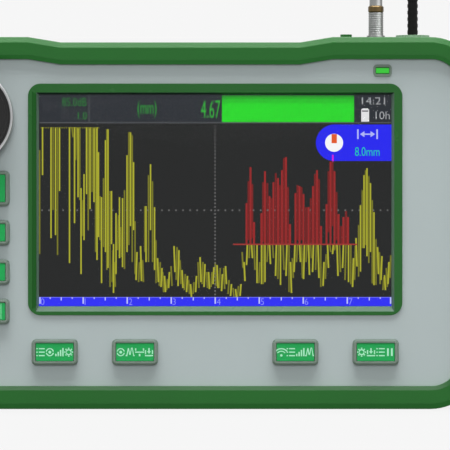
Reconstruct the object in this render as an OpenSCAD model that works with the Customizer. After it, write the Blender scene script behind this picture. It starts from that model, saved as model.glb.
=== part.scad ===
// Ultrasonic case depth tester: a bench and field instrument with a colour screen, a keypad,
// a turning knob, a fold-out stand on its back and two leads in its top edge.
// Millimetres. It stands on its bottom edge: +X right, +Z up, and its front faces -Y.

/* [Body] */
// Space from the bezel to the left side of the body, where the side keys and the knob are
side_left = 64.4; // [62:0.1:75]
// Space from the bezel to the right side of the body
side_right = 34.5; // [33:0.1:45]
// Height of the bezel's lower edge above the base, with the menu keys in between
under_bezel = 40.3; // [39:0.1:42]
// Space from the bezel's upper edge to the raised ends of the body's top edge
over_bezel = 20; // [19.5:0.1:26]
// Depth over the two bumpers
body_d = 60; // [58:1:75]
// Radius of the four outer corners
corner_r = 22.5; // [20:0.5:26]
// How far the top edge drops in the middle
top_drop = 2.3; // [1.9:0.1:3]
// Space between the slope at the right end of the lowered stretch and the free probe socket
drop_gap = 2; // [1:0.1:8]
// Sideways run of the slope at each end of the lowered stretch
drop_run = 14; // [8:0.5:16]
// Wall of the grey case
case_wall = 2.5; // [2:0.1:3]

/* [Bumpers] */
// Thickness of the rubber round the case
bumper_wall = 3.3; // [2.5:0.1:4]
// Depth of each bumper
bumper_d = 18; // [16:0.5:21]
// Depth of the front bumper's lip, which stands over the panel
front_lip_d = 3.5; // [2.5:0.1:4]
// Depth of the rear bumper's lip
rear_lip_d = 3; // [2:0.1:4]
// Width of the front lip at the left and right
lip_side = 10; // [8:0.1:11]
// Width of the front lip at the bottom
lip_bottom = 9.9; // [8:0.1:10.5]
// Width of the front lip at the top
lip_top = 9.5; // [8:0.1:10]
// Width of the rear lip
lip_rear = 6; // [4.5:0.1:6.5]
// Radius of the panel's visible corners
opening_r = 12; // [9:0.5:14]
// Width of the chamfer on the outer front edge
outer_chamfer = 2.4; // [0.8:0.1:2.8]
// Width of the chamfer on the edge beside the panel
inner_chamfer = 1.8; // [0.5:0.1:2.2]
// Depth of the two chamfers, as a share of their width
chamfer_depth_share = 0.5; // [0.3:0.05:1]

/* [Front panel] */
// Thickness of the panel
panel_t = 3; // [2:0.1:4]
// Thickness of the sealing ring behind the panel
seal_t = 1; // [0.8:0.1:1.5]
// Width of the sealing ring
seal_w = 2.2; // [1.5:0.1:2.4]

/* [Screen] */
// Width of the green bezel
bezel_w = 161.1; // [152:0.5:190]
// Height of the green bezel
bezel_h = 99.7; // [94:0.5:118]
// Radius of the bezel's corners
bezel_r = 5.4; // [3.5:0.1:7]
// How far the bezel stands out of the panel
bezel_proud = 1; // [0.5:0.1:1.5]
// Width of the bezel beside the picture
screen_side = 4.65; // [4.55:0.05:6]
// Height of the bezel above the picture
screen_down = 4.6; // [4.4:0.1:5.5]
// Height of the bezel below the picture
screen_up = 3.9; // [3.6:0.1:4.3]
// Width of the inner slope at the bezel's sides
slope_side = 1.15; // [0.6:0.05:1.8]
// Width of the inner slope at the bezel's top
slope_top = 0.75; // [0.4:0.05:1.2]
// Width of the inner slope at the bezel's bottom
slope_bottom = 2.3; // [1.2:0.1:2.5]
// Thickness of the window in front of the display
window_t = 2.1; // [1.2:0.1:2.4]
// How far the display module reaches past the picture at each side
lcd_side = 6.6; // [5.6:0.1:7]
// How far the display module reaches past the picture at the top and bottom
lcd_over = 4.6; // [3.9:0.1:4.9]
// Thickness of the display module
lcd_t = 5.7; // [4:0.1:7]

/* [Menu keys] */
// Width of a menu key's frame
menu_w = 19.8; // [18:0.2:22]
// Height of a menu key's frame
menu_h = 11.2; // [9.5:0.2:12.4]
// Height of the menu keys' middle above the base
menu_z = 24.5; // [23.5:0.1:25.5]
// Space between the two keys of a pair, middle to middle, as a share of the bezel's width
menu_pitch_share = 0.2142; // [0.18:0.0002:0.23]
// Space between the middles of the two pairs, as a share of the bezel's width
menu_pairs_share = 0.6425; // [0.61:0.0005:0.67]

/* [Side keys] */
// Width of a side key's frame
side_w = 16.4; // [15:0.1:18]
// Height of a low side key's frame
side_h = 11; // [9.5:0.1:12]
// Height of a tall side key's frame
tall_h = 15.3; // [13:0.1:17]
// Middle of the side keypad and of the knob, in from the left side of the body
pad_in = 37.55; // [36.8:0.05:38.2]
// Space between the two columns, middle to middle
pad_pitch = 21.5; // [20.5:0.1:22]
// Height of the lowest side keys' middle
pad_z = 42; // [40:0.1:43]
// Space between the rows of low keys, as a share of the bezel's height
pad_row_share = 0.17; // [0.16:0.001:0.175]
// Space from the top row of low keys to the tall keys, as a share of the bezel's height
tall_row_share = 0.1906; // [0.182:0.0002:0.2]

/* [Key caps] */
// How far the key frames stand out of the panel
frame_proud = 4; // [2.5:0.1:5]
// Width of a key frame's rim
frame_rim = 1.6; // [1.2:0.1:2]
// Radius of a key frame's corners
frame_r = 2; // [1.7:0.1:2.6]
// Bevel on a key frame's outer edge
frame_bevel = 0.8; // [0.4:0.1:1]
// How far a cap's face lies below its frame's top
cap_sunk = 0.3; // [0.2:0.05:0.6]
// How far a key travels
key_travel = 0.9; // [0.5:0.05:1.1]

/* [Knob] */
// Diameter of the knob, as a share of the bezel's height
knob_share = 0.4062; // [0.35:0.0002:0.42]
// How far the knob's face stands in front of the bumper
knob_proud = 10; // [7:0.5:14]
// Space from the tall keys to the knob's middle, as a share of the bezel's height
knob_row_share = 0.3069; // [0.298:0.0001:0.32]
// Width of the bright ring on the knob
ring_w = 1.4; // [0.8:0.1:2]
// Width of the black edge outside the ring
knob_edge = 0.9; // [0.6:0.1:1.5]
// Diameter of the finger dimple
dimple_d = 13; // [9:0.5:14]
// How far the dimple's middle lies from the knob's
dimple_out = 9.5; // [8:0.25:10]
// Direction of the dimple, in degrees from the right, upwards
dimple_angle = -20; // [-60:1:60]
// Diameter of the knob's shaft
shaft_d = 6; // [5:0.25:6.5]
// How far the knob pushes in
push_travel = 0.5; // [0.3:0.05:0.7]

/* [Lamp] */
// Width of the lamp's frame
lamp_w = 8; // [7:0.1:10]
// Height of the lamp's frame
lamp_h = 5.3; // [4.6:0.1:6.2]
// Width of the lamp's lens
lens_w = 6; // [4:0.1:6.4]
// Height of the lamp's lens
lens_h = 3; // [1.6:0.1:3.4]
// Place of the lamp, in from the right side of the body
lamp_in = 43; // [40:0.5:60]
// Height of the lamp's middle, below the body's top
lamp_down = 14.4; // [13.9:0.1:14.8]

/* [Top sockets] */
// Place of the free probe socket, in from the right side of the body
receive_in = 58; // [57:0.5:63]
// Place of the probe socket in use, in from the right side
transmit_in = 45; // [44:0.5:46]
// Place of the data socket, in from the right side
data_in = 29; // [28:0.5:31]
// How far the row of sockets lies behind the middle of the body's depth
sockets_back = 5; // [3:0.5:5.5]
// Outer diameter of a probe socket's nose
nose_d = 5.1; // [4.7:0.05:5.2]
// Bore of a probe socket
socket_bore_d = 3.9; // [3.4:0.05:4.1]
// Depth of a probe socket's bore
socket_bore_h = 6; // [4.5:0.25:7]
// Diameter of a probe socket's flange
socket_flange_d = 9; // [8:0.1:10]
// Height of the flanges of the sockets
socket_flange_h = 1.2; // [0.8:0.1:1.8]
// How far a probe socket's nose stands out of the case
nose_h = 5.6; // [4.5:0.1:6]
// Outer diameter of the data socket's barrel
data_barrel_d = 12; // [11:0.1:12.5]
// Diameter of the data socket's flange
data_flange_d = 14; // [13.4:0.1:15]

/* [Probe plug] */
// Diameter of the plug's sleeve
sleeve_d = 6.5; // [6:0.05:7]
// Diameter of the plug's foot, round the socket's nose
foot_d = 7.9; // [7.2:0.05:8.4]
// Height of the plug's foot
foot_h = 3.8; // [2.5:0.1:4.3]
// Height of the plug's sleeve above its foot
sleeve_h = 10; // [8:0.25:13]
// Diameter of the brass ring
brass_d = 6.8; // [6.2:0.05:7.4]
// Height of the brass ring
brass_h = 3; // [2:0.1:4]
// Diameter of the nut at the top of the plug
plug_nut_d = 5.6; // [5:0.05:6.2]
// Height of the nut at the top of the plug
plug_nut_h = 9; // [7:0.25:11]
// Length of the bend relief above the nut
relief_h = 14; // [13.5:0.25:14.5]

/* [Data plug] */
// Diameter of the plug's grip
grip_d = 14.6; // [13.6:0.1:15.4]
// Height of the plug's grip
grip_h = 4; // [3:0.1:4.6]
// Diameter of the plug's barrel inside the socket
data_nose_d = 9; // [8:0.1:9.5]
// Diameter at the foot of the ribbed bend relief
boot_d = 4.3; // [4.1:0.05:5]
// Length of the ribbed bend relief
boot_h = 20; // [19:0.5:21]

/* [Stand] */
// Width of the stand
stand_w = 110; // [90:1:112]
// Space between the battery door and the stand's foot
stand_above_door = 10; // [8.5:0.5:14]
// Thickness of the stand
stand_t = 4; // [3.4:0.1:4.4]
// Depth of the stand's pivot below the top of the body
pivot_down = 28; // [26.5:0.5:29]
// Diameter of the pivot pins
pin_d = 2.4; // [1.8:0.1:2.6]
// Length of a pivot pin
pin_len = 16; // [12:0.5:20]
// Width of the finger notch below the stand
notch_w = 30; // [20:1:40]

/* [Battery] */
// Space between the ends of the battery pack and the ends of its door
pack_end = 9; // [7:0.5:15]
// Space between the long sides of the battery pack and of its door
pack_side = 4.5; // [4:0.25:5.5]
// Depth of the battery pack
pack_d = 19; // [17:0.5:20]
// Width of the battery door
door_w = 150; // [149:0.5:156]
// Height of the battery door, as a share of the bezel's height
door_h_share = 0.4514; // [0.44:0.0002:0.456]
// Thickness of the battery door
door_t = 2.6; // [2:0.1:3]
// Height of the battery door's lower edge
door_z = 15; // [14.6:0.1:15.4]
// Diameter of the door screws' heads
coin_d = 7; // [6:0.1:7.4]

/* [Inside] */
// Width of the main board
board_w = 130; // [120:1:134]
// Height of the main board
board_h = 84; // [76:1:88]
// Thickness of the circuit boards
board_t = 1.6; // [1:0.1:2]
// Length of the posts behind the display
lcd_post = 4; // [3:0.1:5]
// Diameter of the case screws' thread
screw_d = 3; // [2.4:0.1:3.4]
// Length of a case screw under its head
screw_len = 20; // [18:0.5:21]

/* [Leads] */
// Diameter of the probe lead
probe_lead_d = 3; // [2.6:0.1:3.1]
// Diameter of the data lead
data_lead_d = 3.8; // [3.2:0.1:3.9]
// Turns of the probe lead's coil
probe_turns = 10; // [4:4:12]
// Turns of the data lead's coil
data_turns = 5; // [3:1:6]
// Mean radius of the probe lead's coil
probe_coil_r = 18; // [16:0.5:18]
// Mean radius of the data lead's coil
data_coil_r = 22.5; // [21:0.5:23]

/* [Probe and data connector] */
// Length of the probe
probe_len = 26; // [22:0.5:30]
// Width of the probe
probe_w = 15; // [12:0.5:18]
// Height of the probe
probe_h = 17; // [14:0.5:19]
// Height of the wedge under the probe
wedge_h = 6; // [4:0.25:7]
// Length of the data connector's grip
usb_len = 28; // [24:0.5:29]
// Width of the data connector's grip
usb_w = 16; // [14:0.5:17]
// Height of the data connector's grip
usb_h = 8; // [7:0.25:9]

/* [Hidden] */

// Curve resolution of large and small round things
$fn = 64;

// Overrun of cuts past the faces that they open
over = 1;
// Clearance between parts that are slid together and then stay
fit = 0.1;
// Radial clearance of a shaft or pin that turns
run = 0.05;
// Clearance that a key cap has all round in its frame
cap_fit = 0.15;
// Gap between a rubber part and a part that turns over it
swing_fit = 0.4;

// A length taken as a share of another, to the nearest hundredth of a millimetre
function share_of(length, share) = round(100 * length * share) / 100;

// The body follows from the bezel and the spaces round it
body_w = side_left + bezel_w + side_right;
body_h = under_bezel + bezel_h + over_bezel;
half_w = body_w / 2;
bezel_x = side_left + bezel_w / 2 - half_w;
bezel_z = under_bezel + bezel_h / 2;
pad_x = half_w - pad_in;
pad_row = share_of(bezel_h, pad_row_share);
tall_row = share_of(bezel_h, tall_row_share);
menu_pitch = share_of(bezel_w, menu_pitch_share);
menu_pairs = share_of(bezel_w, menu_pairs_share);
lamp_x = half_w - lamp_in;
receive_x = half_w - receive_in;
transmit_x = half_w - transmit_in;
data_x = half_w - data_in;
drop_flat = receive_x - socket_flange_d / 2 - drop_gap - drop_run;

// Depths are measured outwards, towards the viewer, from the middle of the whole depth
rim_out = body_d - (body_d + knob_proud) / 2;
back_out = rim_out - body_d;
panel_out = rim_out - front_lip_d;
panel_back = panel_out - panel_t;
case_front = panel_back - seal_t;
case_back = back_out + rear_lip_d;
back_inner = case_back + case_wall;
drop_end = drop_flat + drop_run;
outer_chamfer_d = outer_chamfer * chamfer_depth_share;
inner_chamfer_d = inner_chamfer * chamfer_depth_share;
case_in = bumper_wall + fit;
case_top = body_h - case_in;
socket_y = sockets_back;

// Screen places
screen_w = bezel_w - 2 * screen_side;
screen_h = bezel_h - screen_up - screen_down;
lcd_w = screen_w + 2 * lcd_side;
lcd_h = screen_h + 2 * lcd_over;
bezel_x0 = bezel_x - bezel_w / 2;
bezel_z0 = bezel_z - bezel_h / 2;
screen_x0 = bezel_x - screen_w / 2;
screen_z0 = bezel_z0 + screen_up;
bezel_flange = 1.2;
bezel_out = panel_out + bezel_proud;
window_front = panel_back + window_t;
window_lap = 1.5;
skin = 0.01;
lcd_post_r = 2.5;
lcd_x0 = bezel_x - lcd_w / 2;
lcd_z0 = bezel_z - lcd_h / 2;
lcd_back = panel_back - lcd_t;
lcd_rim = 2;
lcd_step = 0.8;

// Keys: centre, width and height of each frame
side_columns = [pad_x + pad_pitch / 2, pad_x - pad_pitch / 2];
pad_rows = [pad_z, pad_z + pad_row, pad_z + 2 * pad_row];
tall_z = pad_z + 2 * pad_row + tall_row;
knob_z = tall_z + share_of(bezel_h, knob_row_share);
menu_x = [
  for (pair = [-1, 1], side = [-1, 1])
    bezel_x + (pair * menu_pairs + side * menu_pitch) / 2
];
menu_keys = [for (x = menu_x) [x, menu_z, menu_w, menu_h]];
side_keys = concat(
  [for (x = side_columns) [-x, tall_z, side_w, tall_h]],
  [for (row = [2, 1, 0], x = side_columns) [-x, pad_rows[row], side_w, side_h]]
);
all_keys = concat(menu_keys, side_keys);
frame_hole_r = 0.6;
flange_w = 0.8;
flange_t = 0.8;
flange_gap = 0.2;
flange_out = panel_back - flange_gap;
cap_out = panel_out + frame_proud - cap_sunk;
cap_back = flange_out - flange_t;
dome_out = cap_back - key_travel - fit;
dome_h = 1.9;
dome_r = 2.6;
mat_t = 1;
mat_out = dome_out - dome_h;
key_board_out = mat_out - mat_t;
key_post_r = 2;
mat_inset = 0.6;
board_margin = 1.4;
board_left = pad_x + pad_pitch / 2 + side_w / 2 + board_margin;
board_right = max(menu_x) + menu_w / 2 + board_margin;
board_low = menu_z - menu_h / 2 - board_margin;
board_step_x = pad_x - pad_pitch / 2 - side_w / 2 - board_margin;
board_step_z = menu_z + menu_h / 2 + board_margin;
board_high = tall_z + tall_h / 2 + board_margin;
key_posts = [
  [-pad_x, (pad_rows[0] + pad_rows[1]) / 2],
  [-pad_x, (pad_rows[1] + pad_rows[2]) / 2],
  [-pad_x, tall_z],
  [(menu_x[0] + menu_x[1]) / 2, menu_z],
  [(menu_x[1] + menu_x[2]) / 2, menu_z],
  [(menu_x[2] + menu_x[3]) / 2, menu_z]
];

// Lamp
lamp_z = body_h - lamp_down;
lamp_proud = 0.6;
lamp_r = 1.6;
lens_r = 0.6;
lamp_tail = 1.5;
lamp_flange = 0.4;
lens_sunk = 0.3;

// Knob and encoder
knob_d = share_of(bezel_h, knob_share);
knob_r = knob_d / 2;
knob_out = rim_out + knob_proud;
knob_gap = 0.8;
knob_back = panel_out + knob_gap;
knob_wall = 3;
knob_top_t = 5;
knob_web = 1;
knob_hub_r = 5.5;
ring_t = 0.8;
ring_outer = knob_r - knob_edge;
ring_inner = ring_outer - ring_w;
face_r = ring_inner - fit / 2;
face_t = 2;
edge_chamfer = 0.5;
grip_flutes = 36;
flute_r = 0.5;
flute_foot = 1.5;
encoder_w = 14;
encoder_t = 8;
encoder_back = panel_back - encoder_t;
bushing_r = 4.5;
bushing_h = 5;
bushing_out = panel_out + bushing_h;
nut_r = 7;
nut_t = 2;
washer_r = 7.2;
washer_t = 0.6;
shaft_r = shaft_d / 2;
shaft_flat = 2;
shaft_top = knob_out - face_t - knob_web;
hub_low = bushing_out + push_travel + knob_web;
encoder_wall = 0.8;
plunger_r = 4.5;
plunger_t = 2;
collar_r = 4;
collar_t = 1.2;
cavity_low = encoder_back + encoder_wall;
plunger_low = cavity_low + push_travel + fit;
cavity_high = plunger_low + plunger_t + collar_t + fit;
face_sunk = 0.2;
dimple_sphere = 12;
dimple_depth = dimple_sphere - sqrt(pow(dimple_sphere, 2) - pow(dimple_d / 2, 2));

// Case screws: the four corners, the middle of the top and the middle of the bottom
screw_in = 12;
screw_low = 16;
screw_high = 18;
screw_mid_low = 10.5;
screw_mid_high = 13.5;
screw_boss_r = 3.5;
case_boss_r = 4.2;
screw_end_wall = 1;
screw_head_r = 2.75;
screw_head_h = 2.4;
screw_r = screw_d / 2;
screw_well_r = screw_head_r + 2 * fit;
screw_holes = [
  [-half_w + screw_in, screw_low], [half_w - screw_in, screw_low],
  [-half_w + screw_in, body_h - screw_high], [half_w - screw_in, body_h - screw_high],
  [0, screw_mid_low], [bezel_x, body_h - screw_mid_high]
];
screw_tip = panel_back - 2 * screw_end_wall;
screw_seat = screw_tip - screw_len;
post_len = 10;
boss_join = panel_back - post_len;
slot_w = 1.1;

// Stand
stand_gap = 0.3;
stand_out = case_back + stand_t;
stand_floor = stand_out + stand_gap;
pivot_out = case_back + stand_t / 2;
knuckle_r = stand_t / 2;
stand_r = 8;
door_h = share_of(bezel_h, door_h_share);
stand_foot = door_z + door_h + stand_above_door;
pivot_z = body_h - pivot_down;
pad_t = 2;
recess_low = stand_foot - pad_t - swing_fit;
recess_high = pivot_z + knuckle_r + swing_fit;
recess_half = stand_w / 2 + stand_gap;
tray_t = 2.4;
pad_w = 66;
rib_w = 60;
rib_h = 1.2;
rib_n = 6;
rib_start = 4;
rib_pitch = 2.6;
pin_r = pin_d / 2;
pin_side = pin_len / 2;
pin_wall = 2;
ear_w = pin_side + pin_wall;
notch_h = 6;
groove_deep = 0.6;
pin_block = pin_side + pin_wall;
pin_block_half = 4;

// Battery
door_r = 5;
door_gap = 0.3;
door_ledge = 2;
door_x = door_w / 2;
pack_gap = 0.4;
pack_w = door_w - 2 * pack_end;
pack_h = door_h - 2 * pack_side;
bay_w = pack_w + 2 * pack_gap;
bay_h = pack_h + 2 * pack_gap;
bay_z = door_z + (door_h - bay_h) / 2;
bay_deep = case_back + door_t + pack_d + 2 * pack_gap;
bay_wall = 1.8;
pack_mid = case_back + door_t + pack_gap + pack_d / 2;
pack_r = 8.5;
coin_in = 5.2;
coin_h = 1.2;
coin_shank_r = 1.6;
coin_shank_h = 4.4;
coin_boss_r = 3.4;
coin_seat = case_back + coin_h + fit;
coin_tip = coin_seat + coin_shank_h;
door_grooves = 3;
door_groove_pitch = 5;
door_groove_w = 60;
groove_wide = 1.6;
coin_places = [[-door_x + coin_in, door_z + door_h / 2], [door_x - coin_in, door_z + door_h / 2]];

// Boards
board_front = lcd_back - lcd_post;
board_x0 = bezel_x - board_w / 2;
board_z0 = bezel_z - board_h / 2;
lcd_posts_share = 0.42;
chip_shares = [
  [0.25, 0.62, 0.2, 0.3], [0.62, 0.64, 0.26, 0.36], [0.3, 0.22, 0.14, 0.2], [0.7, 0.22, 0.3, 0.14]
];
chip_h = 2.4;

// Sockets
socket_z = case_top;
nose_top = socket_z + nose_h;
nose_root = socket_z + socket_flange_h;
socket_thread_r = 3;
socket_thread_h = 9;
socket_floor = nose_top - socket_bore_h;
socket_nut_r = 4.6;
socket_nut_t = 2;
data_nut_r = 7;
data_barrel_h = 12;
data_bore_r = data_nose_d / 2 + fit;
data_bore_h = 9;
plug_nose_r = socket_bore_d / 2 - fit;

// Probe plug, from the foot up
foot_z = nose_root + fit;
foot_top = foot_z + foot_h;
sleeve_top = foot_top + sleeve_h;
brass_top = sleeve_top + brass_h;
nut_top = brass_top + plug_nut_h;
relief_top = nut_top + relief_h;
groove_n = 9;
groove_w = 0.4;
groove_d = 0.15;
groove_start = 1.2;
groove_pitch = 0.95;
relief_foot_r = 2.3;
relief_tip_r = 1.85;
brass_round = 0.5;
nut_shoulder = 1.5;

// Data plug, from the flange up
grip_z = socket_z + socket_flange_h;
grip_top = grip_z + grip_h;
boot_top = grip_top + boot_h;
boot_rib_n = 7;
boot_rib_h = 1.5;
boot_rib_d = 0.15;
boot_tip_r = 2.05;
grip_flat_n = 24;
grip_flute_r = 0.6;

// Leads: round points chosen by hand along each free stretch. Its first and last points are
// then moved to the plug, the coil or the far end that they join, and their neighbours follow.
probe_route = [
  [85, 5, 198.2], [85, 5, 203], [85.2, 7, 213], [85.5, 13, 222], [85.8, 21, 228],
  [86.2, 31, 230], [86.6, 41, 228], [87, 49, 222], [87.3, 55, 213], [87.5, 57, 203],
  [87.5, 57.3, 184], [87.5, 57.5, 164], [87.5, 57.8, 144], [87.5, 58, 124], [87.5, 58, 104],
  [87.5, 58, 84], [87.5, 58, 64], [87.5, 58, 46], [87.4, 58, 34], [86.5, 57, 24],
  [84, 55, 14.5], [80, 52.4, 7.5], [75, 49.8, 3.8], [69.5, 48.2, 2.5], [64, 47.6, 2.6],
  [58.5, 47.6, 2.6]
];
probe_end = [
  [52.5, 47.6, 12.9], [46, 47.6, 12.6], [39, 47.5, 11.5], [32, 47.4, 10], [25.5, 48, 8.9],
  [19.5, 50, 8.2], [14.5, 53.6, 8], [11.3, 58.2, 8], [10, 63, 8], [10, 66, 8]
];
data_route = [
  [101, 5, 181.8], [101, 5, 186], [101.1, 7, 197], [101.4, 13, 207], [101.7, 21.5, 213.5],
  [102, 32.5, 216], [102.3, 43.5, 213.5], [102.6, 52, 207], [102.9, 58, 197], [103, 60, 186],
  [103, 60, 166], [103, 60.2, 146], [103, 60.4, 126], [103, 60.5, 106], [103, 60.5, 86],
  [103, 60.5, 66], [103, 60.2, 48], [102.8, 59.5, 34], [101.8, 57.4, 22], [98.8, 53.6, 12],
  [93, 48.6, 5.4], [85, 44.2, 2.6], [75, 41.2, 2.2], [62, 40, 2.2], [46, 39.6, 2.2],
  [30, 39.6, 2.2], [14, 39.8, 2.2], [-2, 40.2, 2.4], [-14, 40.8, 2.8], [-22, 41, 3], [-28, 41, 3]
];
data_end = [
  [-35.6, 41, 7.1], [-42, 41.1, 6.7], [-49, 41.6, 5.9], [-56, 42.6, 5], [-63, 43.8, 4.3],
  [-70, 44.6, 4], [-76, 44.8, 4], [-80, 44.8, 4]
];
probe_layers = 4;
data_layers = 2;
lay_gap = 0.5;
loop_rings = 24;
coil_sides = 6;
lead_sides = 8;
tie_t = 0.8;
tie_w = 6;
tie_gap = 0.35;
tie_r = 1.5;
ease_n = 7;
probe_tie_angles = [20, 170];
data_tie_angles = [10, 160];

// Probe at the end of its lead, and the connector at the end of the data lead
probe_x = probe_end[len(probe_end) - 1].x;
probe_y = probe_end[len(probe_end) - 1].y;
probe_axis_z = probe_end[len(probe_end) - 1].z;
probe_boss_r = 2.5;
probe_boss_len = 4;
probe_slope = 6;
probe_step = 4;
wedge_slope = 2.5;
wedge_out = 0.6;
usb_x = data_end[len(data_end) - 1].x;
usb_y = data_end[len(data_end) - 1].y;
usb_neck_r = 3;
usb_neck_len = 6;
usb_r = 2;
shell_w = 12;
shell_h = 4.5;
shell_len = 18.7;
shell_wall = 0.4;
tongue_h = 1.8;
latch = 2.2;
latch_at_share = 0.4;

// Colours as the photograph shows them
bumper_green = [0.18, 0.41, 0.2];
bezel_green = [0.19, 0.4, 0.21];
key_green = [0.19, 0.63, 0.34];
panel_grey = [0.68, 0.73, 0.73];
metal_grey = [0.55, 0.58, 0.57];
dark = [0.16, 0.16, 0.16];

// Puts the front view, drawn as X right, Y up and Z towards the viewer, upright
module upright() rotate([90, 0, 0]) children();

// A flat shape of the front view from one depth to another, both measured outwards
module plate(low, high) translate([0, 0, low]) linear_extrude(high - low) children();

// A rod of the front view, along the depth
module rod(at, low, high, r) translate([at.x, at.y, low]) cylinder(h = high - low, r = r);

// A round post that stands upright in the room
module post(x, y, low, high, r) translate([x, y, low]) cylinder(h = high - low, r = r);

module round_rect(x0, x1, z0, z1, r) {
  translate([x0 + r, z0]) square([x1 - x0 - 2 * r, z1 - z0]);
  translate([x0, z0 + r]) square([x1 - x0, z1 - z0 - 2 * r]);
  for (x = [x0 + r, x1 - r], z = [z0 + r, z1 - r])
    translate([x, z]) circle(r);
}

module centred_rect(x, z, w, h, r) round_rect(x - w / 2, x + w / 2, z - h / 2, z + h / 2, r);

// What the lowered stretch takes off a top edge at height z, drawn out by a growth
module drop(z, grow = 0) {
  slope = atan2(top_drop, drop_run);
  low = drop_flat + grow * tan(slope / 2);
  high = low + (top_drop + grow + 2 * over) / tan(slope);
  polygon([
    [-high, z + 2 * over], [-low, z - top_drop - grow], [low, z - top_drop - grow], [high, z + 2 * over]
  ]);
}

// The front outline of the body, drawn in by an inset
module outline(inset)
  difference() {
    round_rect(inset - half_w, half_w - inset, inset, body_h - inset, corner_r - inset);
    drop(body_h - inset);
  }

// Draws a profile along one straight edge, with the outside on the left of its direction
module along(p, q)
  translate([p.x, p.y]) rotate(atan2(q.y - p.y, q.x - p.x) + 90) rotate([90, 0, 0])
    linear_extrude(norm(q - p)) children();

// Draws a profile round a rectangle with round corners
module round_edge(x0, x1, z0, z1, r) {
  along([x0 + r, z1], [x1 - r, z1]) children();
  along([x1, z1 - r], [x1, z0 + r]) children();
  along([x1 - r, z0], [x0 + r, z0]) children();
  along([x0, z0 + r], [x0, z1 - r]) children();
  for (c = [[x1 - r, z1 - r, 0], [x0 + r, z1 - r, 90], [x0 + r, z0 + r, 180], [x1 - r, z0 + r, 270]])
    translate([c[0], c[1]]) rotate(c[2]) rotate_extrude(angle = 90) translate([r, 0]) children();
}

// The profiles that take off an outer and an inner edge: c is the width of the chamfer
module outer_bevel(out, c) {
  past = over * chamfer_depth_share;
  polygon([[-c - over, out + past], [over, out - c * chamfer_depth_share - past], [over, out + over]]);
}

module inner_bevel(out, c) {
  past = over * chamfer_depth_share;
  polygon([[c + over, out + past], [-over, out + over], [-over, out - c * chamfer_depth_share - past]]);
}

// The chamfer round the body's outline at a face that looks outwards
module body_bevel(out) {
  round_edge(-half_w, half_w, 0, body_h, corner_r) outer_bevel(out, outer_chamfer);
  hull() {
    plate(out - outer_chamfer_d - skin, out - outer_chamfer_d) drop(body_h);
    plate(out, out + skin) drop(body_h, outer_chamfer);
  }
}

// The opening in the front lip, whose edge is chamfered too
module front_opening()
  difference() {
    union() {
      plate(panel_out - over, rim_out + over)
        round_rect(lip_side - half_w, half_w - lip_side, lip_bottom, body_h - lip_top, opening_r);
      round_edge(lip_side - half_w, half_w - lip_side, lip_bottom, body_h - lip_top, opening_r)
        inner_bevel(rim_out, inner_chamfer);
    }
    hull() {
      plate(panel_out - 2 * over, rim_out - inner_chamfer_d) drop(body_h - lip_top);
      plate(rim_out - skin, rim_out) drop(body_h - lip_top, -inner_chamfer);
    }
  }

module front_bumper()
  color(bumper_green) upright() difference() {
    plate(rim_out - bumper_d, rim_out) outline(0);
    plate(rim_out - bumper_d - over, panel_out) outline(bumper_wall);
    front_opening();
    body_bevel(rim_out);
  }

module rear_bumper()
  color(bumper_green) upright() difference() {
    plate(back_out, back_out + bumper_d) outline(0);
    plate(case_back, back_out + bumper_d + over) outline(bumper_wall);
    plate(back_out - over, case_back + over) outline(lip_rear);
    mirror([0, 0, 1]) body_bevel(-back_out);
  }

module case_seal()
  color(dark) upright() plate(case_front, panel_back) difference() {
    outline(case_in);
    outline(case_in + seal_w);
  }

// The barrel of the lamp frame, grown on every side
module lamp_outline(grow) {
  w = lamp_w - 2 * lamp_flange + 2 * grow;
  h = lamp_h - 2 * lamp_flange + 2 * grow;
  centred_rect(lamp_x, lamp_z, w, h, lamp_r - lamp_flange);
}

// The battery door, grown on every side
module door_outline(grow)
  centred_rect(0, door_z + door_h / 2, door_w + 2 * grow, door_h + 2 * grow, door_r + grow);

// Holes that let the keys through the panel
module key_shape(key, inset, r) centred_rect(key[0], key[1], key[2] - 2 * inset, key[3] - 2 * inset, r);

module front_panel()
  color(panel_grey) upright() difference() {
    union() {
      plate(panel_back, panel_out) outline(case_in);
      for (p = screw_holes)
        rod(p, boss_join, panel_back + over, screw_boss_r);
      for (p = key_posts)
        rod(p, key_board_out, panel_back + over, key_post_r);
    }
    for (p = screw_holes)
      rod(p, boss_join - over, panel_back - screw_end_wall, screw_r + run);
    plate(panel_back - over, panel_out + over) {
      centred_rect(
        bezel_x, bezel_z, bezel_w - 2 * (bezel_flange - fit), bezel_h - 2 * (bezel_flange - fit),
        bezel_r - bezel_flange + fit
      );
      for (key = all_keys)
        key_shape(key, frame_rim, frame_hole_r);
      lamp_outline(run);
      translate([-pad_x, knob_z]) circle(bushing_r + fit);
    }
  }

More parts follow.
